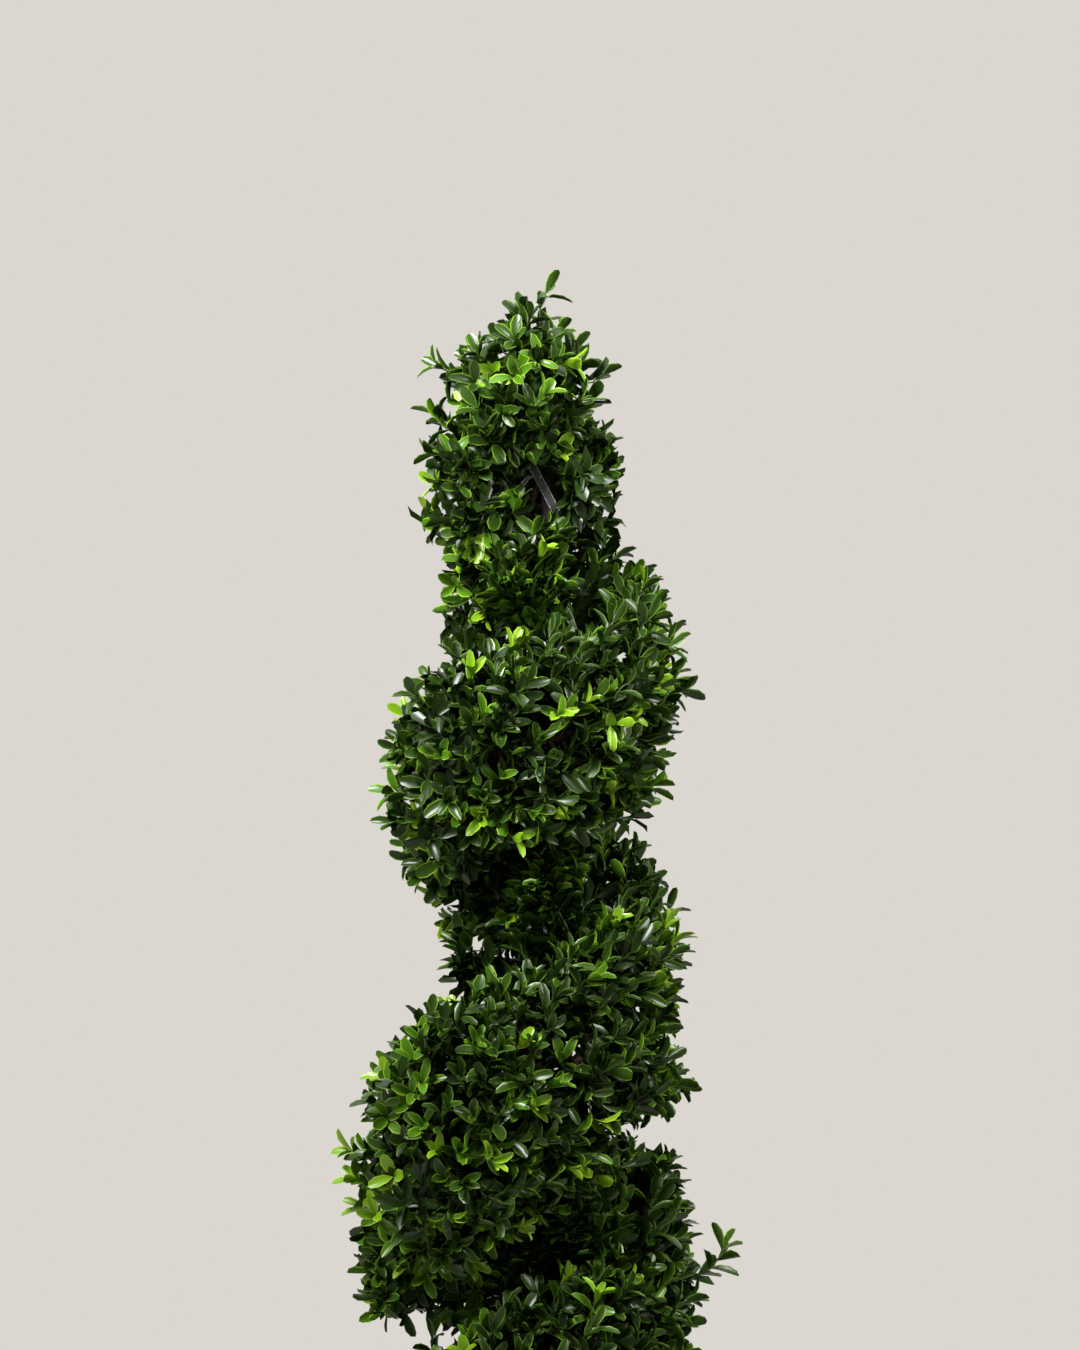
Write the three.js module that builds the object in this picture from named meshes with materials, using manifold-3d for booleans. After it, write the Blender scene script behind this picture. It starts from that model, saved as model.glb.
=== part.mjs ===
// Spiral topiary: moulded box leaves on a wire bough that climbs round a trunk, standing in its pot.
// Millimetres, +Z up. The origin is the centre of the pot's flat underside.
// Azimuth is counted from +X (right) towards +Y (back): 90 is the back, 180 the left and 270 the front.
// The band of leaves climbs with growing azimuth, and each full turn adds 360.

import * as THREE from "three";
import { mergeVertices } from "three/addons/utils/BufferGeometryUtils.js";
import Module from "manifold-3d";

// ---- Driving dimensions ----

// The band from the foot up, given where it passes a side of the trunk: the height of its middle, how far
// the leaves reach from the trunk's axis, and half the band's height. The first row lies below the band's
// own start and the last lies in the crown: they only lead the curve.
const PASSES = [
  { azimuth: 0, height: 250, reach: 150, half: 118 },
  { azimuth: 180, height: 405, reach: 158, half: 130 },
  { azimuth: 360, height: 592, reach: 146, half: 134 },
  { azimuth: 540, height: 714, reach: 169, half: 136 },
  { azimuth: 720, height: 872, reach: 138, half: 126 },
  { azimuth: 900, height: 1054, reach: 142, half: 110 },
  { azimuth: 1080, height: 1146, reach: 134, half: 108 },
  { azimuth: 1170, height: 1268, reach: 116, half: 104 },
  { azimuth: 1260, height: 1330, reach: 98, half: 100 },
  { azimuth: 1440, height: 1450, reach: 70, half: 60 },
];

// The band is made of masses a quarter turn long, each centred on one side of the trunk.
const BAND = {
  start: 95, // azimuth of the lower end
  firstCut: 225, // azimuth of the first cut between masses
  massTurn: 90,
  masses: 12,
  gap: 0.5, // between neighbouring masses
  innerRadius: 19, // the band stays clear of the trunk
  roundness: 2.3, // 2 is an ellipse, more is squarer
  bump: 7, // height of the uneven places in the leaf surface
  tailTurn: 60, // the lower end swells to its full section over this azimuth
  tailSize: 0.42, // size of the section at the very end
  stepTurn: 11.25, // azimuth between sections
  sides: 20,
};
const SIDE_NAMES = ["right", "back", "left", "front"];

const CROWN = {
  centre: new THREE.Vector3(-15, 0, 1419.5),
  radius: new THREE.Vector3(74, 74, 80.5),
  topNarrowing: 0.6, // share of the width lost at the very top
  footWidening: 0.6, // and gained towards the bottom
  bump: 4,
  detail: 7,
  gap: 0.5,
};

const TRUNK = {
  top: 1405,
  footRadius: 12.5,
  topRadius: 5.8,
  flare: 5, // extra radius at the foot
  flareHeight: 20,
  lean: 8, // sideways offset of the tip, towards the right
  sway: 2.5, // the trunk bows this far from its straight line
  steps: 26,
  sides: 16,
};

const POT = {
  height: 170,
  footRadius: 68,
  rimRadius: 95,
  wall: 3,
  floor: 4,
  lipWidth: 4,
  lipHeight: 16,
  edge: 1.2, // rounding of the lip
  sides: 48,
};
const FILL = { top: 154, gap: 0.5, crownHeight: 4, flatRadius: 26, sides: 40 };

// Boughs are centre lines in azimuth, radius and height, with their radius at both ends.
const BOUGH_FOOT = {
  path: [
    [24, 21, 182],
    [26, 20.5, 206],
    [34, 24, 238],
    [52, 43, 270],
    [74, 58, 298],
    [91.8, 62, 316],
  ],
  startRadius: 6.2,
  endRadius: 5.4,
};
const BOUGH_TOP = {
  path: [
    [225, 2.8, 1330],
    [212, 4.7, 1319],
    [192, 10, 1303],
    [184, 18, 1292],
    [181, 26, 1286],
  ],
  startRadius: 2.7,
  endRadius: 3.1,
};
// A twig stands off the right side of the second pass, with a few leaves at its tip.
const TWIG = {
  path: [
    [0, 138, 612],
    [0.4, 152, 622],
    [-0.6, 164, 636],
    [-1.5, 173, 652],
  ],
  startRadius: 1.8,
  endRadius: 1.2,
};
const TWIG_LEAVES = {
  centre: new THREE.Vector3(175, -5, 656),
  radius: new THREE.Vector3(9, 9, 13),
  detail: 3,
};
const BOUGH_STEPS = 12;
const BOUGH_SIDES = 10;

// A tie is one loop round the trunk and a bough, with its locking head and loose tail.
const TIE = {
  width: 3.6,
  thickness: 1.2,
  gap: 0.4,
  headSize: 6.4,
  headDepth: 4.6,
  tail: 13,
  slant: 1.45, // the bough crosses the loop at a slant, so it needs this many times its own radius
  arcSteps: 12,
};
const TIE_FOOT_HEIGHT = 206;
const TIE_TOP_HEIGHT = 1319;

const COLOURS = {
  leaf: 0x2c4a1c,
  leafLight: 0x35571f,
  bark: 0x4a3226,
  pot: 0x1d1d1e,
  fill: 0x3a2c20,
  tie: 0xd9ddd8,
};

// ---- Helpers ----

const wasm = await Module();
wasm.setup();

const { lerp, degToRad, smoothstep } = THREE.MathUtils;

function material(color, roughness) {
  return new THREE.MeshStandardMaterial({ color, roughness, metalness: 0 });
}

function named(name, geometry, look) {
  const mesh = new THREE.Mesh(geometry, look);
  mesh.name = name;
  return mesh;
}

function cylindrical(azimuth, radius, height) {
  const angle = degToRad(azimuth);
  return new THREE.Vector3(radius * Math.cos(angle), radius * Math.sin(angle), height);
}

// A closed body through rings of equally many points, with flat ends. The rings run anticlockwise
// when seen from the far end.
function loft(rings) {
  const sides = rings[0].length;
  const points = rings.flat();
  const index = [];
  for (let ring = 0; ring < rings.length - 1; ring++) {
    for (let side = 0; side < sides; side++) {
      const a = ring * sides + side;
      const b = ring * sides + ((side + 1) % sides);
      index.push(a, b, b + sides, a, b + sides, a + sides);
    }
  }
  const last = (rings.length - 1) * sides;
  for (let side = 1; side < sides - 1; side++) {
    index.push(0, side + 1, side);
    index.push(last, last + side, last + side + 1);
  }
  return new THREE.BufferGeometry().setFromPoints(points).setIndex(index);
}

function lathe(profile, sides) {
  const points = profile.map(([radius, height]) => new THREE.Vector2(radius, height));
  return new THREE.LatheGeometry(points, sides).rotateX(Math.PI / 2);
}

function solidOf(geometry) {
  const bare = new THREE.BufferGeometry().setAttribute("position", geometry.getAttribute("position").clone());
  if (geometry.index) bare.setIndex(geometry.index);
  const merged = mergeVertices(bare, 1e-3);
  const solid = new wasm.Mesh({
    numProp: 3,
    vertProperties: new Float32Array(merged.attributes.position.array),
    triVerts: new Uint32Array(merged.index.array),
  });
  return new wasm.Manifold(solid);
}

function geometryOf(solid) {
  const { vertProperties, triVerts } = solid.getMesh();
  return new THREE.BufferGeometry()
    .setAttribute("position", new THREE.BufferAttribute(vertProperties, 3))
    .setIndex(new THREE.BufferAttribute(triVerts, 1));
}

// ---- Trunk ----

function trunkCentre(height) {
  const share = (height - FILL.top) / (TRUNK.top - FILL.top);
  return new THREE.Vector2(TRUNK.lean * share, TRUNK.sway * Math.sin(Math.PI * share));
}

function trunkRadius(height) {
  const above = height - FILL.top;
  const taper = lerp(TRUNK.footRadius, TRUNK.topRadius, above / (TRUNK.top - FILL.top));
  return taper + TRUNK.flare * Math.exp(-above / TRUNK.flareHeight);
}

function trunkGeometry(grow = 0) {
  const foot = FILL.top + BAND.gap - grow;
  const tip = TRUNK.top + grow;
  const profile = [[0, foot]];
  for (let step = 0; step <= TRUNK.steps; step++) {
    const height = lerp(foot, tip, (step / TRUNK.steps) ** 1.5);
    profile.push([trunkRadius(height) + grow, height]);
  }
  profile.push([0, tip]);
  const geometry = lathe(profile, TRUNK.sides);
  const position = geometry.getAttribute("position");
  for (let i = 0; i < position.count; i++) {
    const centre = trunkCentre(position.getZ(i));
    position.setXY(i, position.getX(i) + centre.x, position.getY(i) + centre.y);
  }
  return geometry;
}

// ---- Band of leaves ----

const passCurve = new THREE.CubicInterpolant(
  PASSES.map(({ azimuth }) => azimuth),
  PASSES.flatMap(({ height, reach, half }) => [height, reach, half]),
  3,
);

// The band at an azimuth: the height of its middle, its reach and half its height.
function passAt(azimuth) {
  const [height, reach, half] = passCurve.evaluate(azimuth);
  return { height, reach, half };
}

// Uneven places in the leaf surface, from -1 to 1, smooth along the band and round its section.
function unevenness(along, round) {
  return (
    0.45 * Math.sin(5.3 * along + 2 * round + 0.7) +
    0.35 * Math.sin(9.1 * along - 3 * round + 2.1) +
    0.2 * Math.sin(3.7 * along + 5 * round + 4)
  );
}

// The band's section in the upright plane through the trunk's axis at an azimuth.
function bandSection(azimuth, grow = 0) {
  const { height, reach, half } = passAt(azimuth);
  const size = lerp(BAND.tailSize, 1, smoothstep(azimuth, BAND.start, BAND.start + BAND.tailTurn));
  const middle = (BAND.innerRadius + reach) / 2;
  const across = ((reach - BAND.innerRadius) / 2) * size;
  const ring = [];
  for (let side = 0; side < BAND.sides; side++) {
    const round = (2 * Math.PI * side) / BAND.sides;
    const [cos, sin] = [Math.cos(round), Math.sin(round)];
    const powers = Math.abs(cos) ** BAND.roundness + Math.abs(sin) ** BAND.roundness;
    const squareness = powers ** (-1 / BAND.roundness);
    const outward = (1 + cos) / 2; // no bumps towards the trunk
    const swell = BAND.bump * unevenness(degToRad(azimuth), round) * outward * size + grow;
    ring.push(
      cylindrical(
        azimuth,
        middle + cos * (across * squareness + swell),
        height - sin * (half * size * squareness + swell),
      ),
    );
  }
  return ring;
}

function bandGeometry(from, to, grow = 0) {
  const steps = Math.round((to - from) / BAND.stepTurn);
  const rings = [];
  for (let step = 0; step <= steps; step++) {
    rings.push(bandSection(lerp(from, to, step / steps), grow));
  }
  return loft(rings);
}

// Half of the gap between two masses, as an azimuth at the band's middle radius.
const HALF_GAP_TURN = THREE.MathUtils.radToDeg(BAND.gap / 2 / BAND.innerRadius);

function bandMasses() {
  const masses = [];
  let from = BAND.start;
  for (let i = 0; i < BAND.masses; i++) {
    const to = BAND.firstCut + i * BAND.massTurn;
    const quarter = Math.round((to - BAND.massTurn / 2) / 90);
    const turn = Math.floor((quarter - 2) / 4) + 1;
    const name = "leaves_turn" + turn + "_" + SIDE_NAMES[quarter % 4];
    const look = material(i % 2 ? COLOURS.leafLight : COLOURS.leaf, 0.6);
    masses.push(named(name, bandGeometry(from + HALF_GAP_TURN, to - HALF_GAP_TURN), look));
    from = to;
  }
  return masses;
}

// The crown: an uneven ball round the trunk's tip, grown together with the band's last quarter turn, and
// cut back from the two masses below it.
function crown() {
  const ball = new THREE.IcosahedronGeometry(1, CROWN.detail);
  const position = ball.getAttribute("position");
  const point = new THREE.Vector3();
  for (let i = 0; i < position.count; i++) {
    point.fromBufferAttribute(position, i);
    const swell = CROWN.bump * unevenness(3 * point.z, Math.atan2(point.y, point.x)) * (1 - point.z ** 2);
    const width = 1 + (point.z > 0 ? -CROWN.topNarrowing : CROWN.footWidening) * point.z ** 2;
    point.multiply(CROWN.radius).addScaledVector(point.clone().normalize(), swell);
    point.set(point.x * width, point.y * width, point.z).add(CROWN.centre);
    position.setXYZ(i, ...point);
  }
  const lastCut = BAND.firstCut + (BAND.masses - 1) * BAND.massTurn;
  const below = bandGeometry(lastCut - 2 * BAND.massTurn, lastCut + HALF_GAP_TURN, CROWN.gap);
  const shoulder = bandGeometry(lastCut + HALF_GAP_TURN, lastCut + BAND.massTurn);
  const solid = solidOf(ball)
    .add(solidOf(shoulder))
    .subtract(solidOf(below))
    .subtract(solidOf(trunkGeometry(CROWN.gap)))
    .subtract(solidOf(boughGeometry(BOUGH_TOP, CROWN.gap)));
  const largest = solid.decompose().reduce((a, b) => (b.volume() > a.volume() ? b : a));
  return named("leaves_crown", geometryOf(largest), material(COLOURS.leafLight, 0.6));
}

// ---- Boughs ----

function boughGeometry({ path, startRadius, endRadius }, grow = 0) {
  const curve = new THREE.CatmullRomCurve3(path.map((p) => cylindrical(...p)));
  const frames = curve.computeFrenetFrames(BOUGH_STEPS);
  const rings = [];
  for (let step = 0; step <= BOUGH_STEPS; step++) {
    const share = step / BOUGH_STEPS;
    const centre = curve.getPointAt(share).addScaledVector(frames.tangents[step], (2 * share - 1) * grow);
    const radius = lerp(startRadius, endRadius, share) + grow;
    const ring = [];
    for (let side = 0; side < BOUGH_SIDES; side++) {
      const round = (2 * Math.PI * side) / BOUGH_SIDES;
      ring.push(
        centre
          .clone()
          .addScaledVector(frames.normals[step], radius * Math.cos(round))
          .addScaledVector(frames.binormals[step], radius * Math.sin(round)),
      );
    }
    rings.push(ring);
  }
  return loft(rings);
}

// The twig, cut back from the mass it leaves and from the leaves at its tip.
function twigAndLeaves() {
  const { centre, radius, detail } = TWIG_LEAVES;
  const ball = new THREE.IcosahedronGeometry(1, detail).scale(...radius).translate(...centre);
  const room = radius.clone().addScalar(BAND.gap);
  const grownBall = new THREE.IcosahedronGeometry(1, detail).scale(...room).translate(...centre);
  const twig = solidOf(boughGeometry(TWIG))
    .subtract(solidOf(bandGeometry(315, 405, BAND.gap)))
    .subtract(solidOf(grownBall));
  return [
    named("twig_right", geometryOf(twig), material(COLOURS.bark, 0.85)),
    named("leaves_twig", geometryOf(solidOf(ball)), material(COLOURS.leafLight, 0.6)),
  ];
}

// Where a bough's centre line stands at a height, in the horizontal plane.
function boughCentre({ path }, height) {
  const points = new THREE.CatmullRomCurve3(path.map((p) => cylindrical(...p))).getPoints(200);
  const { x, y } = points.reduce((a, b) => (Math.abs(b.z - height) < Math.abs(a.z - height) ? b : a));
  return new THREE.Vector2(x, y);
}

// ---- Ties ----

// The outline that hugs two circles at a distance: an arc round each, joined by straight runs.
function beltOutline(a, radiusA, b, radiusB) {
  const direction = Math.atan2(b.y - a.y, b.x - a.x);
  const spread = Math.acos((radiusA - radiusB) / a.distanceTo(b));
  const outline = [];
  const arc = (centre, radius, from, to) => {
    for (let step = 0; step <= TIE.arcSteps; step++) {
      const angle = lerp(from, to, step / TIE.arcSteps);
      const x = centre.x + radius * Math.cos(angle);
      const y = centre.y + radius * Math.sin(angle);
      outline.push(new THREE.Vector2(x, y));
    }
  };
  arc(b, radiusB, direction - spread, direction + spread);
  arc(a, radiusA, direction + spread, direction + 2 * Math.PI - spread);
  return outline;
}

// The head and its tail sit on the bough's side of the loop; the tail points away from the bough's bend.
function tie(name, height, bough, tailWay) {
  const post = trunkCentre(height);
  const postSize = trunkRadius(height - TIE.width / 2);
  const limb = boughCentre(bough, height);
  const limbSize = bough.startRadius * TIE.slant;
  const belt = (room) => beltOutline(post, postSize + room, limb, limbSize + room);
  const shape = new THREE.Shape(belt(TIE.gap + TIE.thickness));
  shape.holes.push(new THREE.Path(belt(TIE.gap)));
  const loop = new THREE.ExtrudeGeometry(shape, { depth: TIE.width, bevelEnabled: false });
  loop.translate(0, 0, height - TIE.width / 2);
  const head = new THREE.BoxGeometry(TIE.headDepth, TIE.headSize, TIE.headSize);
  const tail = new THREE.BoxGeometry(TIE.thickness, TIE.width, TIE.tail);
  tail.translate(0, 0, (tailWay * TIE.tail) / 2);
  const outward = limb.clone().sub(post);
  const reach = limbSize + TIE.gap + TIE.headDepth / 2;
  for (const piece of [head, tail]) {
    piece.translate(reach, 0, 0).rotateZ(outward.angle()).translate(limb.x, limb.y, height);
  }
  const solid = solidOf(loop).add(solidOf(head)).add(solidOf(tail));
  return named(name, geometryOf(solid), material(COLOURS.tie, 0.3));
}

// ---- Pot ----

function pot() {
  const { height, footRadius, rimRadius, wall, floor, lipWidth, lipHeight, edge, sides } = POT;
  const radiusAt = (z) => lerp(footRadius, rimRadius - lipWidth, z / height);
  const lipFoot = height - lipHeight;
  const profile = [
    [0, 0],
    [footRadius, 0],
    [radiusAt(lipFoot), lipFoot],
    [rimRadius - edge, lipFoot],
    [rimRadius, lipFoot + edge],
    [rimRadius, height - edge],
    [rimRadius - edge, height],
    [radiusAt(height) - wall + edge, height],
    [radiusAt(height) - wall, height - edge],
    [radiusAt(floor) - wall, floor],
    [0, floor],
  ];
  return named("pot", lathe(profile, sides), material(COLOURS.pot, 0.55));
}

function potFill() {
  const { top, gap, crownHeight, flatRadius, sides } = FILL;
  const innerAt = (z) => lerp(POT.footRadius, POT.rimRadius - POT.lipWidth, z / POT.height) - POT.wall - gap;
  const foot = POT.floor + gap;
  const edgeHeight = top - crownHeight;
  const profile = [
    [0, foot],
    [innerAt(foot), foot],
    [innerAt(edgeHeight), edgeHeight],
    [(innerAt(edgeHeight) + flatRadius) / 2, top - crownHeight * 0.4],
    [flatRadius, top],
    [0, top],
  ];
  return named("pot_fill", lathe(profile, sides), material(COLOURS.fill, 0.95));
}

// ---- Assembly ----

const topiary = new THREE.Group();
topiary.add(pot(), potFill());
topiary.add(named("trunk", trunkGeometry(), material(COLOURS.bark, 0.85)));
topiary.add(named("bough_foot", boughGeometry(BOUGH_FOOT), material(COLOURS.bark, 0.85)));
topiary.add(named("bough_top", boughGeometry(BOUGH_TOP), material(COLOURS.bark, 0.85)));
topiary.add(tie("tie_foot", TIE_FOOT_HEIGHT, BOUGH_FOOT, -1));
topiary.add(tie("tie_top", TIE_TOP_HEIGHT, BOUGH_TOP, 1));
topiary.add(...bandMasses(), crown(), ...twigAndLeaves());

export default topiary;
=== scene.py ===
"""Spiral topiary: moulded box sprays on a wire bough that climbs round a trunk, in a plain pot."""

import logging
import math
import random
from dataclasses import dataclass, field
from enum import Enum
from typing import Callable, Iterable, Optional, Sequence, Union

import bmesh
import bpy
import numpy as np
from bpy.types import ID, Collection, ColorRamp, Material, Mesh, NodeSocket, NodeTree, Object
from mathutils import Matrix, Quaternion, Vector, noise


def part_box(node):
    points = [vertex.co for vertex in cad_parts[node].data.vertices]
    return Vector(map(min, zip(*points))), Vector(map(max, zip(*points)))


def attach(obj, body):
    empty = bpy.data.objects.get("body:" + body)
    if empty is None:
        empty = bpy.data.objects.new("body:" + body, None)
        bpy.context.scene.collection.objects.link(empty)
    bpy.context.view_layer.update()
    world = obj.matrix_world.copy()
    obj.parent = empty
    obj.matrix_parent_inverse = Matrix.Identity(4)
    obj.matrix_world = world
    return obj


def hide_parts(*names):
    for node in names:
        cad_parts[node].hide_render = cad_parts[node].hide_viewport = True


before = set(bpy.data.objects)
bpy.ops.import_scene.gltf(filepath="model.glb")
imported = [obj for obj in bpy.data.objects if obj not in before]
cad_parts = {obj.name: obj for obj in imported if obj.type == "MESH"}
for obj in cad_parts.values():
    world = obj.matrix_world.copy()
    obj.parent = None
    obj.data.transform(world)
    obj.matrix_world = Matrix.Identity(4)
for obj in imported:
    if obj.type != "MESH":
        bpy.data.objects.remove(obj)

LOG = logging.getLogger("topiary")
BODY = "root"
UP = Vector((0.0, 0.0, 1.0))
Colour = tuple[float, float, float]
Shell = tuple[list[Vector], list[tuple[int, ...]]]
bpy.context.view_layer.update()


def linear(hexadecimal: str) -> Colour:
    """Turn a display colour into scene-linear values.

    Args:
        hexadecimal: Six digits, two each for red, green and blue.

    Returns:
        The linear colour.
    """
    parts = [int(hexadecimal[i:i + 2], 16) / 255.0 for i in (0, 2, 4)]
    return tuple(p / 12.92 if p <= 0.04045 else ((p + 0.055) / 1.055) ** 2.4 for p in parts)


def around(azimuth: float, radius: float, height: float) -> Vector:
    """Place a point by its azimuth in degrees, its distance from the pot's axis and its height.

    Args:
        azimuth: Degrees from the right towards the back.
        radius: Metres from the axis.
        height: Metres above the pot's underside.

    Returns:
        The point in the shared frame.
    """
    angle = math.radians(azimuth)
    return Vector((radius * math.cos(angle), radius * math.sin(angle), height))


def mm(x: float, y: float, z: float) -> Vector:
    """Place a point given in millimetres."""
    return Vector((x / 1000, y / 1000, z / 1000))


def any_way(draw: random.Random) -> Vector:
    """Draw a vector that favours no way."""
    return Vector((draw.gauss(0, 1), draw.gauss(0, 1), draw.gauss(0, 1)))


# ---- Node graphs ----


class Wire:
    """A node's output that takes part in Python arithmetic by adding Math nodes."""

    def __init__(self, tree: NodeTree, socket: NodeSocket) -> None:
        """Wrap one output socket of a tree."""
        self.tree = tree
        self.socket = socket

    def maths(self, operation: str, *values: "Number") -> "Wire":
        """Add one Math node.

        Args:
            operation: The node's operation.
            values: Its inputs in order, wires or numbers.

        Returns:
            The node's output.
        """
        node = self.tree.nodes.new("ShaderNodeMath")
        node.operation = operation
        for socket, value in zip(node.inputs, values):
            if isinstance(value, Wire):
                self.tree.links.new(value.socket, socket)
            else:
                socket.default_value = value
        return Wire(self.tree, node.outputs[0])

    def __add__(self, other: "Number") -> "Wire":
        """Add."""
        return self.maths("ADD", self, other)

    __radd__ = __add__

    def __sub__(self, other: "Number") -> "Wire":
        """Subtract."""
        return self.maths("SUBTRACT", self, other)

    def __rsub__(self, other: "Number") -> "Wire":
        """Subtract this wire from a number."""
        return self.maths("SUBTRACT", other, self)

    def __mul__(self, other: "Number") -> "Wire":
        """Multiply."""
        return self.maths("MULTIPLY", self, other)

    __rmul__ = __mul__

    def __truediv__(self, other: "Number") -> "Wire":
        """Divide."""
        return self.maths("DIVIDE", self, other)

    def __rtruediv__(self, other: "Number") -> "Wire":
        """Divide a number by this wire."""
        return self.maths("DIVIDE", other, self)

    def __pow__(self, other: "Number") -> "Wire":
        """Raise to a power."""
        return self.maths("POWER", self, other)


Number = Union[Wire, float]


class Graph:
    """A node tree under construction, with one method for every kind of node."""

    def __init__(self, tree: NodeTree) -> None:
        """Start on a tree."""
        self.tree = tree

    def add(
        self,
        kind: str,
        settings: Optional[dict] = None,
        inputs: Optional[dict] = None,
        output: Union[int, str] = 0,
    ) -> Wire:
        """Add a node.

        Args:
            kind: The node's type.
            settings: Its properties, set first; "stops" are a ramp's (position, colour) pairs.
            inputs: Its sockets by name or number, each a wire or a value.
            output: The output to return.

        Returns:
            The chosen output.
        """
        node = self.tree.nodes.new(kind)
        for name, value in (settings or {}).items():
            if name == "stops":
                self._set_stops(node.color_ramp, value)
            else:
                setattr(node, name, value)
        for name, value in (inputs or {}).items():
            self.connect(node.inputs[name], value)
        return Wire(self.tree, node.outputs[output])

    def connect(self, socket: NodeSocket, value: object) -> None:
        """Give a socket a wire or a value."""
        if isinstance(value, Wire):
            self.tree.links.new(value.socket, socket)
        else:
            socket.default_value = value

    @staticmethod
    def _set_stops(ramp: ColorRamp, stops: Sequence[tuple[float, Colour]]) -> None:
        """Give a colour ramp its stops."""
        while len(ramp.elements) < len(stops):
            ramp.elements.new(1.0)
        for element, (position, colour) in zip(ramp.elements, stops):
            element.position = position
            element.color = (*colour, 1.0)


class Shader(Graph):
    """A material with one Principled surface."""

    def __init__(self, name: str, colour: Colour, roughness: float) -> None:
        """Make the material with a plain colour and roughness."""
        self.material = bpy.data.materials.new(name)
        self.material.use_nodes = True
        self.material.diffuse_color = (*colour, 1.0)
        super().__init__(self.material.node_tree)
        self.tree.nodes.clear()
        self.surface = self.tree.nodes.new("ShaderNodeBsdfPrincipled")
        end = self.tree.nodes.new("ShaderNodeOutputMaterial")
        self.tree.links.new(self.surface.outputs[0], end.inputs["Surface"])
        self.set("Base Color", (*colour, 1.0))
        self.set("Roughness", roughness)

    def set(self, socket: str, value: object) -> "Shader":
        """Set or link one socket of the surface, and return the shader."""
        self.connect(self.surface.inputs[socket], value)
        return self

    def place(self, scale: Sequence[float] = (1.0, 1.0, 1.0)) -> Wire:
        """Read the place in the object, stretched by a scale."""
        place = self.add("ShaderNodeTexCoord", output="Object")
        return self.add("ShaderNodeMapping", inputs={"Vector": place, "Scale": scale})

    def noise(self, place: Wire, scale: float, detail: float = 4.0, roughness: float = 0.55) -> Wire:
        """Add a noise pattern.

        Args:
            place: Where it is read.
            scale: Waves per metre.
            detail: Number of finer layers.
            roughness: Strength of the finer layers.

        Returns:
            The pattern, about 0 to 1.
        """
        values = {"Vector": place, "Scale": scale, "Detail": detail, "Roughness": roughness}
        return self.add("ShaderNodeTexNoise", inputs=values)

    def ramp(self, factor: Wire, stops: Sequence[tuple[float, Colour]]) -> Wire:
        """Colour a pattern by stops."""
        return self.add("ShaderNodeValToRGB", {"stops": stops}, {"Fac": factor})

    def bump(self, height: Wire, distance: float, strength: float = 1.0) -> "Shader":
        """Raise the surface by a pattern, the distance in metres."""
        values = {"Height": height, "Distance": distance, "Strength": strength}
        return self.set("Normal", self.add("ShaderNodeBump", inputs=values))


class Growth(Graph):
    """A Geometry Nodes tree with named inputs that is run once on an object."""

    def __init__(self, name: str) -> None:
        """Start a tree with a geometry input and output."""
        super().__init__(bpy.data.node_groups.new(name, "GeometryNodeTree"))
        interface = self.tree.interface
        interface.new_socket("Geometry", in_out="INPUT", socket_type="NodeSocketGeometry")
        interface.new_socket("Geometry", in_out="OUTPUT", socket_type="NodeSocketGeometry")
        self.start = self.tree.nodes.new("NodeGroupInput")
        self.end = self.tree.nodes.new("NodeGroupOutput")
        self.values: dict[str, object] = {}

    @property
    def source(self) -> Wire:
        """The geometry that the tree is run on."""
        return Wire(self.tree, self.start.outputs["Geometry"])

    def input(self, name: str, kind: str, value: object) -> Wire:
        """Add a named input.

        Args:
            name: The input's name.
            kind: Its socket type without the NodeSocket in front.
            value: The value it is run with.

        Returns:
            The input's wire.
        """
        item = self.tree.interface.new_socket(name, in_out="INPUT", socket_type="NodeSocket" + kind)
        self.values[item.identifier] = value
        return Wire(self.tree, self.start.outputs[name])

    def attribute(self, name: str, kind: str) -> Wire:
        """Read a named attribute of a data type."""
        return self.add("GeometryNodeInputNamedAttribute", {"data_type": kind}, {"Name": name})

    def store(self, geometry: Wire, name: str, value: Wire) -> Wire:
        """Store a number on the points under a name and return the geometry."""
        settings = {"data_type": "FLOAT", "domain": "POINT"}
        values = {"Geometry": geometry, "Name": name, "Value": value}
        return self.add("GeometryNodeStoreNamedAttribute", settings, values)

    def ring(self, sides: object) -> Wire:
        """Make a round section, one metre in radius."""
        return self.add("GeometryNodeCurvePrimitiveCircle", inputs={"Resolution": sides, "Radius": 1.0})

    def sweep(self, curve: Wire, ring: Wire, size: Wire) -> Wire:
        """Sweep a section along a curve at a size, with closed ends."""
        values = {"Curve": curve, "Profile Curve": ring, "Scale": size, "Fill Caps": True}
        return self.add("GeometryNodeCurveToMesh", inputs=values)

    def real(self, geometry: Wire) -> Wire:
        """Turn instances into geometry of their own."""
        return self.add("GeometryNodeRealizeInstances", inputs={"Geometry": geometry})

    def dress(self, geometry: Wire, material: Material, where: object = True) -> Wire:
        """Give the geometry a material where a selection holds."""
        values = {"Geometry": geometry, "Selection": where, "Material": material}
        return self.add("GeometryNodeSetMaterial", inputs=values)

    def finish(self, geometry: Wire) -> None:
        """Send the geometry to the tree's output."""
        self.tree.links.new(geometry.socket, self.end.inputs[0])

    def run(self, name: str, mesh: Mesh, *spent: str) -> Object:
        """Run the tree on a mesh and keep the result as an object with a plain mesh.

        Args:
            name: The object's name.
            mesh: The mesh that the tree grows on.
            spent: The attributes that the result has no more use for.

        Returns:
            The object.
        """
        piece = add_object(name, mesh)
        modifier = piece.modifiers.new(self.tree.name, "NODES")
        modifier.node_group = self.tree
        for identifier, value in self.values.items():
            modifier[identifier] = value
        graph = bpy.context.evaluated_depsgraph_get()
        made = bpy.data.meshes.new_from_object(
            piece.evaluated_get(graph), preserve_all_data_layers=True, depsgraph=graph
        )
        piece.modifiers.clear()
        piece.data = made
        for label in spent:
            if label in made.attributes:
                made.attributes.remove(made.attributes[label])
        return piece


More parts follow.
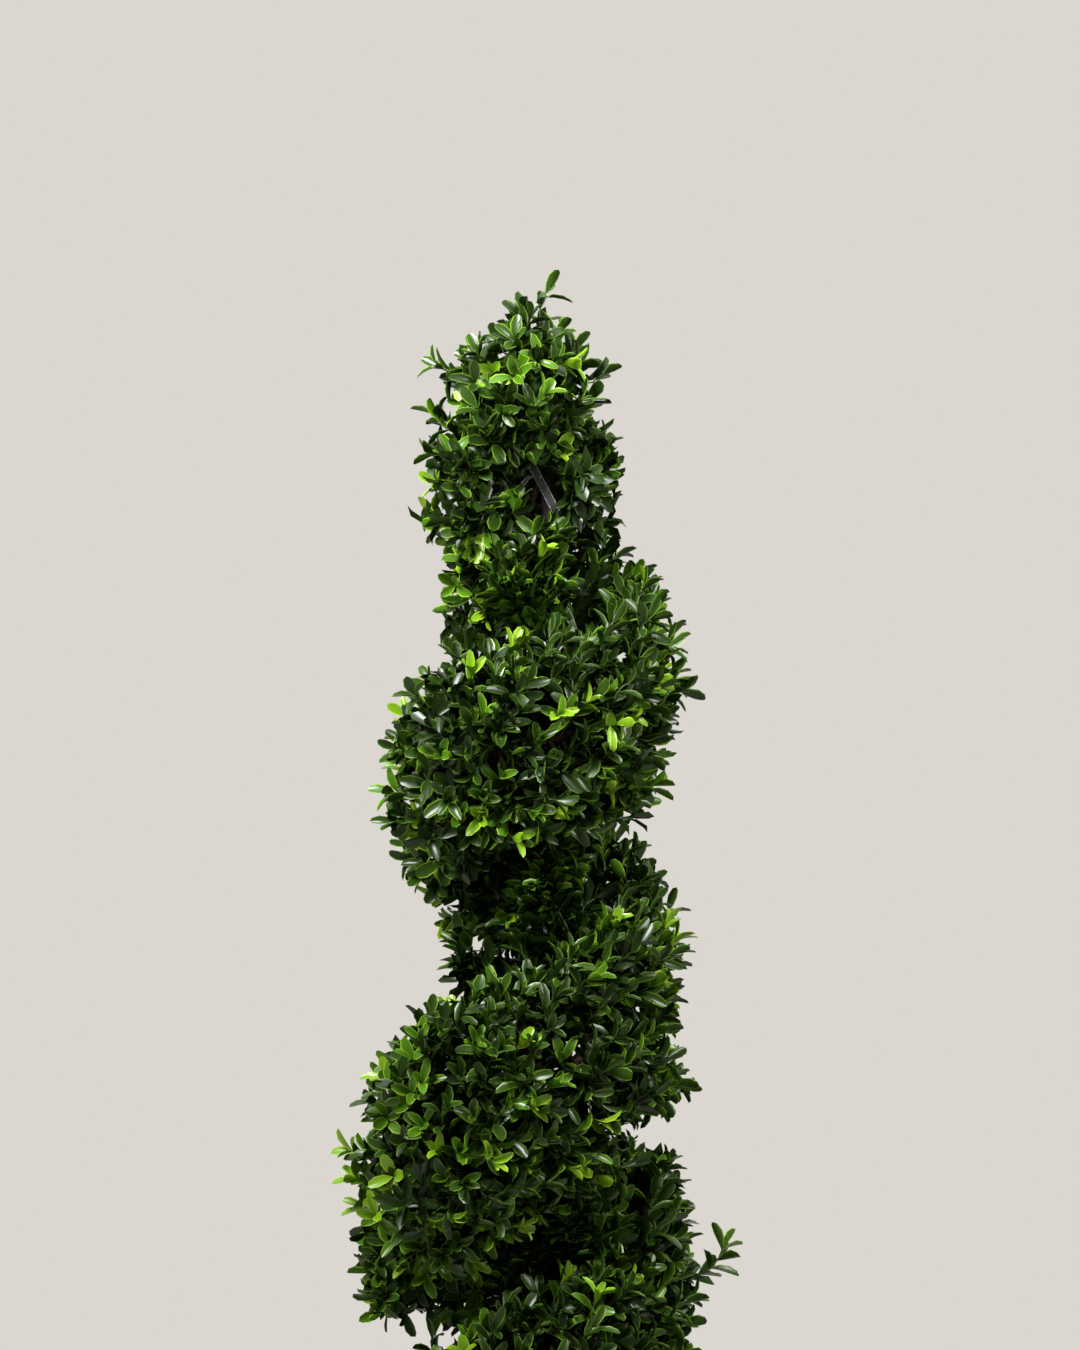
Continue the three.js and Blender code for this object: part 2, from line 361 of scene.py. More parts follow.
# ---- Meshes and pieces ----


def mesh_of(name: str, points: Iterable, faces: Iterable = (), edges: Iterable = ()) -> Mesh:
    """Make a mesh from plain lists."""
    mesh = bpy.data.meshes.new(name)
    mesh.from_pydata([tuple(p) for p in points], list(edges), list(faces))
    mesh.update()
    return mesh


def add_object(name: str, data: ID) -> Object:
    """Put a mesh, a light or a camera into the scene at the origin."""
    made = bpy.data.objects.new(name, data)
    bpy.context.scene.collection.objects.link(made)
    return made


def smooth(mesh: Mesh) -> Mesh:
    """Shade every face of a mesh smoothly."""
    mesh.polygons.foreach_set("use_smooth", [True] * len(mesh.polygons))
    mesh.update()
    return mesh


def dressed(name: str, mesh: Mesh, *finishes: Material) -> Object:
    """Put a mesh into the scene with its materials in order."""
    piece = add_object(name, mesh)
    for material in finishes:
        piece.data.materials.append(material)
    return piece


def keep(piece: Object, slot: str, *nodes: str) -> None:
    """Hang a finished piece under the body's empty, hide the solids that it stands for, and log its size
    in triangles.

    Args:
        piece: The piece, at the origin.
        slot: Not used.
        nodes: The solids that it stands for.
    """
    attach(piece, BODY)
    if nodes:
        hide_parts(*nodes)
    piece.data.calc_loop_triangles()
    LOG.info("%s: %d triangles", piece.name, len(piece.data.loop_triangles))


def tube(
    centres: Sequence[Vector],
    radii: Sequence[float],
    sides: int,
    relief: Callable[[int, float], float],
) -> Shell:
    """Sweep a round section along points, with closed ends.

    Args:
        centres: The centre line.
        radii: The radius at each centre.
        sides: Corners of the section.
        relief: Function of (step, side angle) that gives extra radius.

    Returns:
        Points and faces.
    """
    points: list[Vector] = []
    faces: list[tuple[int, ...]] = []
    across = None
    for step, centre in enumerate(centres):
        ahead = centres[min(step + 1, len(centres) - 1)] - centres[max(step - 1, 0)]
        ahead.normalize()
        if across is None:
            across = ahead.orthogonal().normalized()
        across = (across - ahead * across.dot(ahead)).normalized()
        other = ahead.cross(across)
        for side in range(sides):
            angle = math.tau * side / sides
            radius = radii[step] + relief(step, angle)
            points.append(centre + (across * math.cos(angle) + other * math.sin(angle)) * radius)
    for step in range(len(centres) - 1):
        for side in range(sides):
            a, b = step * sides + side, step * sides + (side + 1) % sides
            faces.append((a, b, b + sides, a + sides))
    last = (len(centres) - 1) * sides
    faces.append(tuple(reversed(range(sides))))
    faces.append(tuple(range(last, last + sides)))
    return points, faces


def turned(profile: Sequence[tuple[float, float]], sides: int) -> Shell:
    """Turn a profile of (radius, height) round the upright axis.

    Args:
        profile: From the axis at the foot, round the outside, back to the axis.
        sides: Corners of the turned section.

    Returns:
        Points and faces, closed at both ends.
    """
    points = [Vector((0.0, 0.0, profile[0][1]))]
    rings = profile[1:-1]
    for radius, height in rings:
        points += [around(360.0 * side / sides, radius, height) for side in range(sides)]
    points.append(Vector((0.0, 0.0, profile[-1][1])))
    faces: list[tuple[int, ...]] = []
    top = len(points) - 1
    last = 1 + (len(rings) - 1) * sides
    for side in range(sides):
        after = (side + 1) % sides
        faces.append((0, 1 + after, 1 + side))
        faces.append((top, last + side, last + after))
        for ring in range(len(rings) - 1):
            a, b = 1 + ring * sides + side, 1 + ring * sides + after
            faces.append((a, b, b + sides, a + sides))
    return points, faces


# ---- Finishes ----


class Leafage(Enum):
    """The tints that sprays are dealt, from the painted shade of hidden inner leaves to fresh tips; all
    but the first are moulded greens.
    """

    # Not a moulded green: a darker green painted on hidden sprays as shade.
    PAINTED_SHADE = 0
    DEEP = 1
    FULL = 2
    FRESH = 3
    LIME = 4


@dataclass(frozen=True)
class LeafFinish:
    """Glossy moulded leaf: one plain green for the blade and a paler one for its rim."""

    name: str
    blade: Colour
    rim: Colour
    roughness: float = 0.30

    def _material(self, suffix: str, colour: Colour) -> Material:
        """Make one plain glossy green."""
        shader = Shader(f"leaf_{self.name}_{suffix}", colour, self.roughness)
        return shader.set("Specular IOR Level", 0.5).material

    def materials(self) -> tuple[Material, Material]:
        """Return the blade's and the rim's material."""
        return self._material("blade", self.blade), self._material("rim", self.rim)


LEAF_FINISHES = {
    # The first pair of greens is painted shade, darker than the moulded greens, for sprays that do not
    # show.
    Leafage.PAINTED_SHADE: LeafFinish("shade", linear("21350a"), linear("2d4410")),
    Leafage.DEEP: LeafFinish("deep", linear("253c0e"), linear("5a7c24")),
    Leafage.FULL: LeafFinish("full", linear("2f4c0f"), linear("74992e")),
    Leafage.FRESH: LeafFinish("fresh", linear("4c7812"), linear("98bd34")),
    Leafage.LIME: LeafFinish("lime", linear("7eac1d"), linear("b8d545")),
}


@dataclass(frozen=True)
class TwigFinish:
    """Moulded green stem."""

    colour: Colour = linear("48602c")

    def material(self) -> Material:
        """Return the material."""
        return Shader("twig_green", self.colour, 0.5).material


@dataclass(frozen=True)
class BarkFinish:
    """Dark furrowed bark of the trunk."""

    dark: Colour = linear("17110e")
    light: Colour = linear("3c2e25")

    def material(self) -> Material:
        """Return the material."""
        shader = Shader("trunk_bark", self.dark, 0.8)
        furrows = shader.noise(shader.place((1.0, 1.0, 0.16)), 230.0, 5.0, 0.6)
        patches = shader.noise(shader.place(), 45.0, 3.0)
        tone = furrows * 0.7 + patches * 0.3
        shader.set("Base Color", shader.ramp(tone, [(0.36, self.dark), (0.64, self.light)]))
        shader.set("Roughness", 0.92 - tone * 0.25)
        shader.bump(furrows, 0.0009)
        return shader.material


@dataclass(frozen=True)
class WrapFinish:
    """Red-brown tape wound round the wire bough."""

    dark: Colour = linear("1f110d")
    light: Colour = linear("5a3225")

    def material(self) -> Material:
        """Return the material."""
        shader = Shader("bough_wrap", self.dark, 0.6)
        grain = shader.noise(shader.place(), 420.0, 4.0, 0.6)
        patches = shader.noise(shader.place(), 60.0, 2.0)
        tone = grain * 0.55 + patches * 0.45
        shader.set("Base Color", shader.ramp(tone, [(0.35, self.dark), (0.68, self.light)]))
        shader.set("Roughness", 0.78 - tone * 0.3)
        shader.bump(grain, 0.0004)
        return shader.material


@dataclass(frozen=True)
class PotFinish:
    """Plain black moulded plastic with a fine grain and faint scuffs."""

    colour: Colour = linear("1b1b1c")
    scuff: Colour = linear("2c2c2d")

    def material(self) -> Material:
        """Return the material."""
        shader = Shader("pot_plastic", self.colour, 0.5)
        grain = shader.noise(shader.place(), 900.0, 2.0)
        scuffs = shader.noise(shader.place((1.0, 1.0, 3.5)), 28.0, 6.0, 0.65)
        shader.set("Base Color", shader.ramp(scuffs, [(0.5, self.colour), (0.74, self.scuff)]))
        shader.set("Roughness", 0.4 + scuffs * 0.22)
        shader.bump(grain, 0.00012)
        return shader.material


@dataclass(frozen=True)
class FillFinish:
    """Rough brown fill cast into the pot."""

    dark: Colour = linear("2a2019")
    light: Colour = linear("6b5743")

    def material(self) -> Material:
        """Return the material."""
        shader = Shader("fill_rough", self.dark, 0.95)
        coarse = shader.noise(shader.place(), 120.0, 6.0, 0.7)
        fine = shader.noise(shader.place(), 620.0, 3.0, 0.6)
        tone = coarse * 0.65 + fine * 0.35
        shader.set("Base Color", shader.ramp(tone, [(0.36, self.dark), (0.68, self.light)]))
        shader.bump(tone, 0.0012)
        return shader.material


@dataclass(frozen=True)
class TieFinish:
    """Milky see-through plastic of a cable tie."""

    name: str
    cover: float
    colour: Colour = linear("dfe3dd")

    def material(self) -> Material:
        """Return the material."""
        shader = Shader(self.name, self.colour, 0.28).set("Alpha", self.cover)
        cloud = shader.noise(shader.place(), 300.0, 2.0)
        shader.set("Base Color", shader.ramp(cloud, [(0.3, linear("c9cfc8")), (0.7, self.colour)]))
        return shader.set("Coat Weight", 0.3).material


@dataclass(frozen=True)
class FloorFinish:
    """Pale matt studio floor."""

    colour: Colour = linear("cac6bf")

    def material(self) -> Material:
        """Return the material."""
        return Shader("floor_pale", self.colour, 0.9).material


# ---- The band's path ----


@dataclass(frozen=True)
class Pass:
    """The band where it passes a side of the trunk; lengths in metres."""

    azimuth: float
    height: float
    reach: float


@dataclass
class Climb:
    """The way that the leafy band climbs round the trunk."""

    passes: Sequence[Pass] = (
        Pass(0, 0.250, 0.150),
        Pass(180, 0.405, 0.158),
        Pass(360, 0.592, 0.146),
        Pass(540, 0.714, 0.169),
        Pass(720, 0.872, 0.138),
        Pass(900, 1.054, 0.142),
        Pass(1080, 1.146, 0.134),
        Pass(1170, 1.268, 0.116),
        Pass(1260, 1.330, 0.098),
        Pass(1440, 1.450, 0.070),
    )
    inner: float = 0.019
    spine_share: float = 0.42

    def at(self, azimuth: float) -> tuple[float, float]:
        """Work out the band's height and reach at an azimuth.

        Args:
            azimuth: Degrees, counted on through the turns.

        Returns:
            Height of the middle and reach from the axis, in metres.
        """
        rows = np.array([(p.azimuth, p.height, p.reach) for p in self.passes])
        slopes = np.gradient(rows[:, 1:], rows[:, 0], axis=0)
        i = int(np.clip(np.searchsorted(rows[:, 0], azimuth) - 1, 0, len(rows) - 2))
        span = rows[i + 1, 0] - rows[i, 0]
        t = (azimuth - rows[i, 0]) / span
        start, end = rows[i, 1:], rows[i + 1, 1:]
        value = (
            (2 * t**3 - 3 * t**2 + 1) * start
            + (t**3 - 2 * t**2 + t) * span * slopes[i]
            + (3 * t**2 - 2 * t**3) * end
            + (t**3 - t**2) * span * slopes[i + 1]
        )
        return float(value[0]), float(value[1])

    def spine(self, azimuth: float) -> Vector:
        """Return the wire bough's centre at an azimuth inside the band."""
        height, reach = self.at(azimuth)
        return around(azimuth, self.inner + self.spine_share * (reach - self.inner), height)


# ---- Leaves ----


@dataclass(frozen=True)
class LeafForm:
    """One moulded leaf, drawn a metre long and scaled down where it is used."""

    width: float = 0.43
    fold: float = 0.10
    curl: float = 0.26
    twist: float = 0.0
    stations: Sequence[tuple[float, float]] = (
        (0.14, 0.32), (0.38, 0.80), (0.70, 1.00), (0.94, 0.64),
    )
    rim: float = 0.82

    def _point(self, along: float, across: float) -> tuple[float, float, float]:
        """Bend a flat place in the leaf to its cupped form."""
        lift = self.fold * abs(across / self.width) * 2.0 - self.curl * along**2
        cos, sin = math.cos(self.twist * along), math.sin(self.twist * along)
        return (along, across * cos - lift * sin, lift * cos + across * sin)

    def mesh(self, name: str, rimmed: bool) -> Mesh:
        """Build the leaf's mesh.

        Args:
            name: The mesh's name.
            rimmed: Whether the edge is a strip of its own, marked by the attribute "rim".

        Returns:
            The mesh, its upper face towards +Z.
        """
        points = [self._point(0.0, 0.0), self._point(1.0, 0.0)]
        lines: dict[tuple[int, str], int] = {}
        for i, (along, share) in enumerate(self.stations):
            half = share * self.width / 2
            for part, across in (("mid", 0.0), ("left", half), ("right", -half)):
                lines[i, part] = len(points)
                points.append(self._point(along, across))
                if rimmed and part != "mid":
                    lines[i, part + "_in"] = len(points)
                    points.append(self._point(along, across * self.rim))
        blade, rim = [], []
        last = len(self.stations) - 1
        for side in ("left", "right"):
            inner = side + "_in" if rimmed else side
            strips = [(blade, "mid", inner)] + ([(rim, inner, side)] if rimmed else [])
            for target, near, far in strips:
                loops = [(0, lines[0, near], lines[0, far])]
                for i in range(last):
                    loops.append((lines[i, near], lines[i + 1, near], lines[i + 1, far], lines[i, far]))
                loops.append((lines[last, near], 1, lines[last, far]))
                target += [tuple(reversed(f)) if side == "right" else f for f in loops]
        mesh = smooth(mesh_of(name, points, blade + rim))
        marks = mesh.attributes.new("rim", "BOOLEAN", "FACE")
        marks.data.foreach_set("value", [False] * len(blade) + [True] * len(rim))
        return mesh


@dataclass
class LeafBook:
    """The leaf shapes that the sprays are made from, rimmed ones first and plain ones after."""

    forms: Sequence[LeafForm] = (
        LeafForm(),
        LeafForm(0.37, 0.12, 0.42, 0.25),
        LeafForm(0.49, 0.07, 0.14, -0.2),
        LeafForm(0.40, 0.13, 0.08, 0.1),
    )
    plain_forms: Sequence[LeafForm] = (
        LeafForm(0.42, 0.10, 0.24, 0.0, ((0.30, 0.74), (0.78, 0.96))),
        LeafForm(0.36, 0.12, 0.40, 0.2, ((0.30, 0.74), (0.78, 0.96))),
    )
    narrow_choice: Sequence[int] = (1, 3, 0, 1)

    def collection(self) -> Collection:
        """Build the shapes into a collection that is not part of the scene."""
        shelf = bpy.data.collections.new("leaf_forms")
        for i, form in enumerate((*self.forms, *self.plain_forms)):
            name = f"leaf_{i}"
            shelf.objects.link(bpy.data.objects.new(name, form.mesh(name, i < len(self.forms))))
        return shelf

    def pick(self, rimmed: bool, narrow: bool, draw: random.Random) -> int:
        """Choose a shape by its number on the shelf."""
        if rimmed:
            return draw.choice(self.narrow_choice if narrow else range(len(self.forms)))
        return len(self.forms) + draw.randrange(len(self.plain_forms))


@dataclass
class LeafScatter:
    """Puts leaf shapes on points and paints them by their tint."""

    shelf: Collection
    greens: dict[Leafage, tuple[Material, Material]]

    def growth(self) -> Growth:
        """Build the tree: leaves on points, made real, then a material for each tint."""
        growth = Growth("leaf_scatter")
        shelf = growth.input("Leaf shapes", "Collection", self.shelf)
        size = growth.input("Leaf size", "Float", 1.0)
        shapes = growth.add(
            "GeometryNodeCollectionInfo",
            inputs={"Collection": shelf, "Separate Children": True, "Reset Children": True},
        )
        leaves = growth.add(
            "GeometryNodeInstanceOnPoints",
            inputs={
                "Points": growth.source,
                "Instance": shapes,
                "Pick Instance": True,
                "Instance Index": growth.attribute("shape", "INT"),
                "Rotation": growth.attribute("turn", "QUATERNION"),
                "Scale": growth.attribute("size", "FLOAT") * size,
            },
        )
        made = growth.real(leaves)
        tint = growth.attribute("tint", "INT")
        rim = growth.attribute("rim", "BOOLEAN")
        for leafage, (blade, edge) in self.greens.items():
            settings = {"data_type": "INT", "operation": "EQUAL"}
            same = growth.add("FunctionNodeCompare", settings, {2: tint, 3: leafage.value})
            for operation, green in (("NIMPLY", blade), ("AND", edge)):
                where = growth.add("FunctionNodeBooleanMath", {"operation": operation}, {0: same, 1: rim})
                made = growth.dress(made, green, where)
        growth.finish(made)
        return growth


@dataclass
class StemTubes:
    """Turns chains of edges with a radius into thin tubes."""

    material: Material
    sides: int = 3

    def growth(self) -> Growth:
        """Build the tree: edges to curves, curves to tubes, then the material."""
        growth = Growth("stem_tubes")
        sides = growth.input("Sides", "Int", self.sides)
        thickness = growth.input("Thickness", "Float", 1.0)
        curves = growth.add("GeometryNodeMeshToCurve", inputs={"Mesh": growth.source})
        tubes = growth.sweep(curves, growth.ring(sides), growth.attribute("radius", "FLOAT") * thickness)
        growth.finish(growth.dress(growth.real(tubes), self.material))
        return growth


@dataclass
class Sprays:
    """The leaves and stems grown for one mass, gathered before they are made into meshes."""

    places: list[Vector] = field(default_factory=list)
    turns: list[Quaternion] = field(default_factory=list)
    sizes: list[float] = field(default_factory=list)
    shapes: list[int] = field(default_factory=list)
    tints: list[int] = field(default_factory=list)
    stems: list[tuple[list[Vector], list[float]]] = field(default_factory=list)

    def leaf(
        self, place: Vector, along: Vector, face: Vector, size: float, shape: int, tint: Leafage
    ) -> None:
        """Add a leaf.

        Args:
            place: Where it leaves the stem.
            along: The way it points.
            face: The way its upper face looks, roughly.
            size: Its length in metres.
            shape: The number of its shape.
            tint: Its tint.
        """
        along = along.normalized()
        across = face.cross(along).normalized()
        up = along.cross(across)
        self.places.append(place)
        self.turns.append(Matrix((along, across, up)).transposed().to_quaternion())
        self.sizes.append(size)
        self.shapes.append(shape)
        self.tints.append(tint.value)

    def leaf_piece(self, name: str, scatter: LeafScatter) -> Object:
        """Make the leaves into one mesh."""
        mesh = mesh_of(name, self.places)
        for label, kind, key, values in (
            ("turn", "QUATERNION", "value", [c for q in self.turns for c in q]),
            ("size", "FLOAT", "value", self.sizes),
            ("shape", "INT", "value", self.shapes),
            ("tint", "INT", "value", self.tints),
        ):
            mesh.attributes.new(label, kind, "POINT").data.foreach_set(key, values)
        return scatter.growth().run(name, mesh, "turn", "size", "shape", "tint", "rim")

    def stem_piece(self, name: str, tubes: StemTubes) -> Object:
        """Make the stems into one mesh."""
        points: list[Vector] = []
        edges: list[tuple[int, int]] = []
        radii: list[float] = []
        for line, sizes in self.stems:
            first = len(points)
            points += line
            radii += sizes
            edges += [(i, i + 1) for i in range(first, first + len(line) - 1)]
        mesh = mesh_of(name, points, edges=edges)
        mesh.attributes.new("radius", "FLOAT", "POINT").data.foreach_set("value", radii)
        piece = tubes.growth().run(name, mesh, "radius")
        smooth(piece.data)
        return piece


@dataclass(frozen=True)
class Tuft:
    """A bulge of sprays on a mass, an egg with three radii."""

    mass: str
    centre: Vector
    radii: Vector
    count: int


@dataclass(frozen=True)
class Stray:
    """Single sprays that stand out of a mass, by the places of their tips in millimetres."""

    mass: str
    tips: Sequence[tuple[float, float, float]]


@dataclass(frozen=True)
class Notch:
    """An oval, looked at from the front, that stays clear of leaves from the front back to a depth."""

    x: float
    z: float
    wide: float
    high: float
    depth: float = 1.0

    def holds(self, place: Vector) -> bool:
        """Tell whether a place lies in the notch."""
        inside = math.hypot((place.x - self.x) / self.wide, (place.z - self.z) / self.high) < 1.0
        return inside and place.y < self.depth


@dataclass
class Mass:
    """One mass of the crown: sprays that branch off the wire bough and fill the mass's solid."""

    node: str
    azimuth: float
    climb: Climb
    book: LeafBook
    spacing: float = 0.0218
    inner_share: float = 0.50
    cut_share: float = 0.35
    cut_facing: float = 0.93
    draws: int = 5200
    leaf_size: float = 0.0276
    pair_spacing: float = 0.0116
    trunk_clearance: float = 0.022
    bare_radius: float = 0.013
    core_count: int = 16
    core_reach: tuple[float, float] = (0.024, 0.056)
    core_height: float = 0.125
    tuck: tuple[float, float] = (0.024, 0.05)
    branch_gap: float = 0.052
    fork_share: tuple[float, float] = (0.30, 0.42)
    branch_radii: Sequence[float] = (0.0019, 0.0017, 0.0015)
    stray_share: float = 0.10
    stray_inset: tuple[float, float] = (0.008, 0.013)
    inset: tuple[float, float] = (0.016, 0.034)
    outward: float = 0.55
    crown_sweep: float = 0.25
    sweep: float = 0.56
    rise: float = 0.34
    bow: float = 0.42
    jitter: float = 0.004
    twig_step: float = 0.007
    twig_radius: float = 0.0013
    twig_taper: float = 0.0006
    outer_leafy: tuple[float, float] = (0.058, 0.082)
    inner_leafy: tuple[float, float] = (0.04, 0.065)
    tip_gap: float = 0.0045
    young_pairs: float = 3.0
    young_closing: float = 22.0
    young_smaller: float = 0.20
    turn_error: float = 0.16
    roll_error: float = 0.32
    spread: float = 50.0
    spread_error: float = 9.0
    narrow: bool = False
    sky_pull: float = 0.10
    # Share of hidden sprays that get the painted-shade green rather than the deep one.
    painted_shade_share: float = 0.7
    tint_steps: Sequence[tuple[Leafage, float]] = (
        (Leafage.LIME, 0.885), (Leafage.FRESH, 0.66), (Leafage.FULL, 0.36),
    )
    roots: Sequence[Vector] = ()
    tufts: Sequence[Tuft] = ()
    strays: Sequence[Vector] = ()
    notches: Sequence[Notch] = (
        Notch(0.117, 0.738, 0.028, 0.018),
        Notch(0.080, 0.744, 0.032, 0.017),
        Notch(0.047, 0.776, 0.012, 0.011),
        Notch(0.002, 1.319, 0.023, 0.027, 0.004),
        Notch(-0.058, 0.906, 0.012, 0.010),
        Notch(-0.114, 0.870, 0.014, 0.014),
        Notch(0.126, 1.090, 0.015, 0.022),
        Notch(0.107, 1.020, 0.012, 0.016),
        Notch(-0.147, 1.108, 0.014, 0.018),
        Notch(-0.125, 1.402, 0.018, 0.014),
        Notch(-0.124, 0.951, 0.013, 0.014),
    )

    def _surface(self, draw: random.Random, count: int) -> tuple[np.ndarray, np.ndarray]:
        """Draw places on the mass's solid, evenly by area.

        Args:
            draw: The seeded generator.
            count: How many places.

        Returns:
            Places and outward normals.
        """
        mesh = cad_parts[self.node].data
        mesh.calc_loop_triangles()
        corners = np.empty(len(mesh.vertices) * 3)
        mesh.vertices.foreach_get("co", corners)
        corners = corners.reshape(-1, 3)
        index = np.empty(len(mesh.loop_triangles) * 3, dtype=np.int64)
        mesh.loop_triangles.foreach_get("vertices", index)
        a, b, c = (corners[index.reshape(-1, 3)[:, i]] for i in range(3))
        normal = np.cross(b - a, c - a)
        area = np.linalg.norm(normal, axis=1)
        generator = np.random.default_rng(draw.randrange(1 << 30))
        picked = generator.choice(len(area), size=count, p=area / area.sum())
        u, v = generator.random((2, count))
        flip = u + v > 1
        u[flip], v[flip] = 1 - u[flip], 1 - v[flip]
        u, v = u[:, None], v[:, None]
        places = a[picked] + u * (b - a)[picked] + v * (c - a)[picked]
        return places, (normal / np.maximum(area, 1e-12)[:, None])[picked]

    def _tips(self, draw: random.Random) -> list[tuple[Vector, Vector, bool]]:
        """Choose the ends of the sprays: place, outward way, and whether it shows."""
        places, normals = self._surface(draw, self.draws)
        reach = np.linalg.norm(places[:, :2], axis=1)
        sideways = normals[:, 0] * -places[:, 1] + normals[:, 1] * places[:, 0]
        sideways = np.abs(sideways / np.maximum(reach, 1e-6))
        cut = (sideways > self.cut_facing) & (self.node != "leaves_crown")
        chosen: list[int] = []
        kept = np.empty((0, 3))
        for i in np.flatnonzero(reach > self.trunk_clearance):
            if len(kept) == 0 or np.min(np.sum((kept - places[i]) ** 2, axis=1)) > self.spacing**2:
                kept = np.vstack((kept, places[i]))
                if not cut[i] or draw.random() < self.cut_share:
                    chosen.append(int(i))
        tips = [(Vector(places[i]), Vector(normals[i]), not cut[i]) for i in chosen]
        if not self.roots:
            tips += self._core(draw)
        for tuft in self.tufts:
            for _ in range(tuft.count):
                way = any_way(draw).normalized()
                place = tuft.centre + way * tuft.radii
                if place.xy.length > self.trunk_clearance:
                    tips.append((place, way, True))
        return tips

    def _core(self, draw: random.Random) -> list[tuple[Vector, Vector, bool]]:
        """Choose the ends of the sprays that cross the hollow beside the trunk; they count as hidden and
        mostly get the painted-shade green.
        """
        tips = []
        for _ in range(self.core_count):
            azimuth = self.azimuth + draw.uniform(-90.0, 90.0)
            height = self.climb.spine(self.azimuth).z + draw.uniform(-self.core_height, self.core_height)
            place = around(azimuth, draw.uniform(*self.core_reach), height)
            way = Vector((place.x, place.y, draw.uniform(-0.02, 0.05))).normalized()
            tips.append((place, way, False))
        return tips

    def _root(self, tip: Vector, draw: random.Random) -> Vector:
        """Find where the spray for a tip leaves the bough."""
        if self.roots:
            return min(self.roots, key=lambda r: (r - tip).length + draw.uniform(0.0, 0.02))
        choices = [self.azimuth + step for step in range(-60, 61, 5)]
        near = min(choices, key=lambda a: (self.climb.spine(a) - tip).length)
        return self.climb.spine(near - draw.uniform(-4.0, 14.0))

    def _open(self, place: Vector) -> bool:
        """Tell whether a place lies in one of the notches that stay clear of leaves."""
        return any(notch.holds(place) for notch in self.notches)

    def _tint(self, outer: bool, facing: Vector, draw: random.Random) -> Leafage:
        """Deal a tint to a spray; hidden sprays mostly get the darkest green as painted shade."""
        roll = draw.random() - self.sky_pull * facing.z
        # Sprays that do not show (tucked inside, crossing the hollow by the trunk, or facing the gaps
        # between masses) are painted darker as shade.
        if not outer:
            return Leafage.PAINTED_SHADE if roll < self.painted_shade_share else Leafage.DEEP
        for tint, above in self.tint_steps:
            if roll > above:
                return tint
        return Leafage.DEEP

    def grow(self, seed: int) -> Sprays:
        """Grow the mass.

        Args:
            seed: Seed of everything random in it.

        Returns:
            Its leaves and stems.
        """
        draw = random.Random(seed)
        sprays = Sprays()
        tips = self._tips(draw)
        inner = []
        # Tucked-in copies count as hidden, so they mostly get the painted-shade green.
        for place, normal, outer in tips:
            if outer and draw.random() < self.inner_share:
                inner.append((place - normal * draw.uniform(*self.tuck), normal, False))
        clusters: dict[int, list] = {}
        seeds: list[Vector] = []
        for tip in tips + inner:
            near = min(range(len(seeds)), key=lambda i: (seeds[i] - tip[0]).length, default=None)
            if near is None or (seeds[near] - tip[0]).length > self.branch_gap:
                near = len(seeds)
                seeds.append(tip[0])
            clusters.setdefault(near, []).append(tip)
        for members in clusters.values():
            self._cluster(members, sprays, draw)
        for tip in self.strays:
            root = self._root(tip, draw)
            fork = root.lerp(tip, 0.45)
            way = (tip - root).normalized()
            self.spray(fork, way, tip, way, True, sprays, draw)
        return sprays

    def _cluster(self, members: list, sprays: Sprays, draw: random.Random) -> None:
        """Grow one branch off the bough, forking to each of its tips."""
        middle = sum((p for p, _, _ in members), Vector()) / len(members)
        root = self._root(middle, draw)
        fork = root.lerp(middle, draw.uniform(*self.fork_share))
        way = (middle - root).normalized()
        sag = (middle - root).length * 0.08
        line = [root, root.lerp(fork, 0.5) + UP * sag * 0.4, fork]
        sprays.stems.append((line, list(self.branch_radii)))
        for place, normal, outer in members:
            stray = outer and draw.random() < self.stray_share
            inset = draw.uniform(*(self.stray_inset if stray else self.inset))
            tip = place - normal * inset if outer else place
            self.spray(fork, way, tip, normal, outer, sprays, draw)

    def _lean(self, tip: Vector, normal: Vector, jitter: Vector) -> Vector:
        """Work out the way a twig points at its tip: outwards, forwards along the climb, and up."""
        forwards = Vector((-tip.y, tip.x, 0.0)).normalized()
        sweep = self.crown_sweep if self.roots else self.sweep
        lean = normal * self.outward + forwards * sweep + UP * self.rise
        return (lean + jitter * 70).normalized()

    def spray(
        self,
        fork: Vector,
        way: Vector,
        tip: Vector,
        normal: Vector,
        outer: bool,
        sprays: Sprays,
        draw: random.Random,
    ) -> None:
        """Grow one leafy twig from a fork to its tip.

        Args:
            fork: Where the twig starts.
            way: The way the branch points there.
            tip: Where the twig ends.
            normal: The way the mass's surface looks there.
            outer: Whether the tip shows on the outside.
            sprays: Where the leaves and stems are gathered.
            draw: The seeded generator.
        """
        span = (tip - fork).length
        jitter = any_way(draw) * self.jitter
        elbow = fork + way * span * self.bow + jitter * 1.5
        bend = tip - self._lean(tip, normal, jitter) * span * self.bow
        steps = max(5, int(span / self.twig_step))
        line = []
        for i in range(steps + 1):
            t = i / steps
            s = 1 - t
            line.append(fork * s**3 + elbow * (3 * s * s * t) + bend * (3 * s * t * t) + tip * t**3)
        rough = line[:: max(1, steps // 5)]
        if rough[-1] is not line[-1]:
            rough.append(line[-1])
        count = len(rough)
        radii = [self.twig_radius - self.twig_taper * i / (count - 1) for i in range(count)]
        sprays.stems.append((rough, radii))
        tint = self._tint(outer, normal, draw)
        self._leaves(line, tint, outer, sprays, draw)

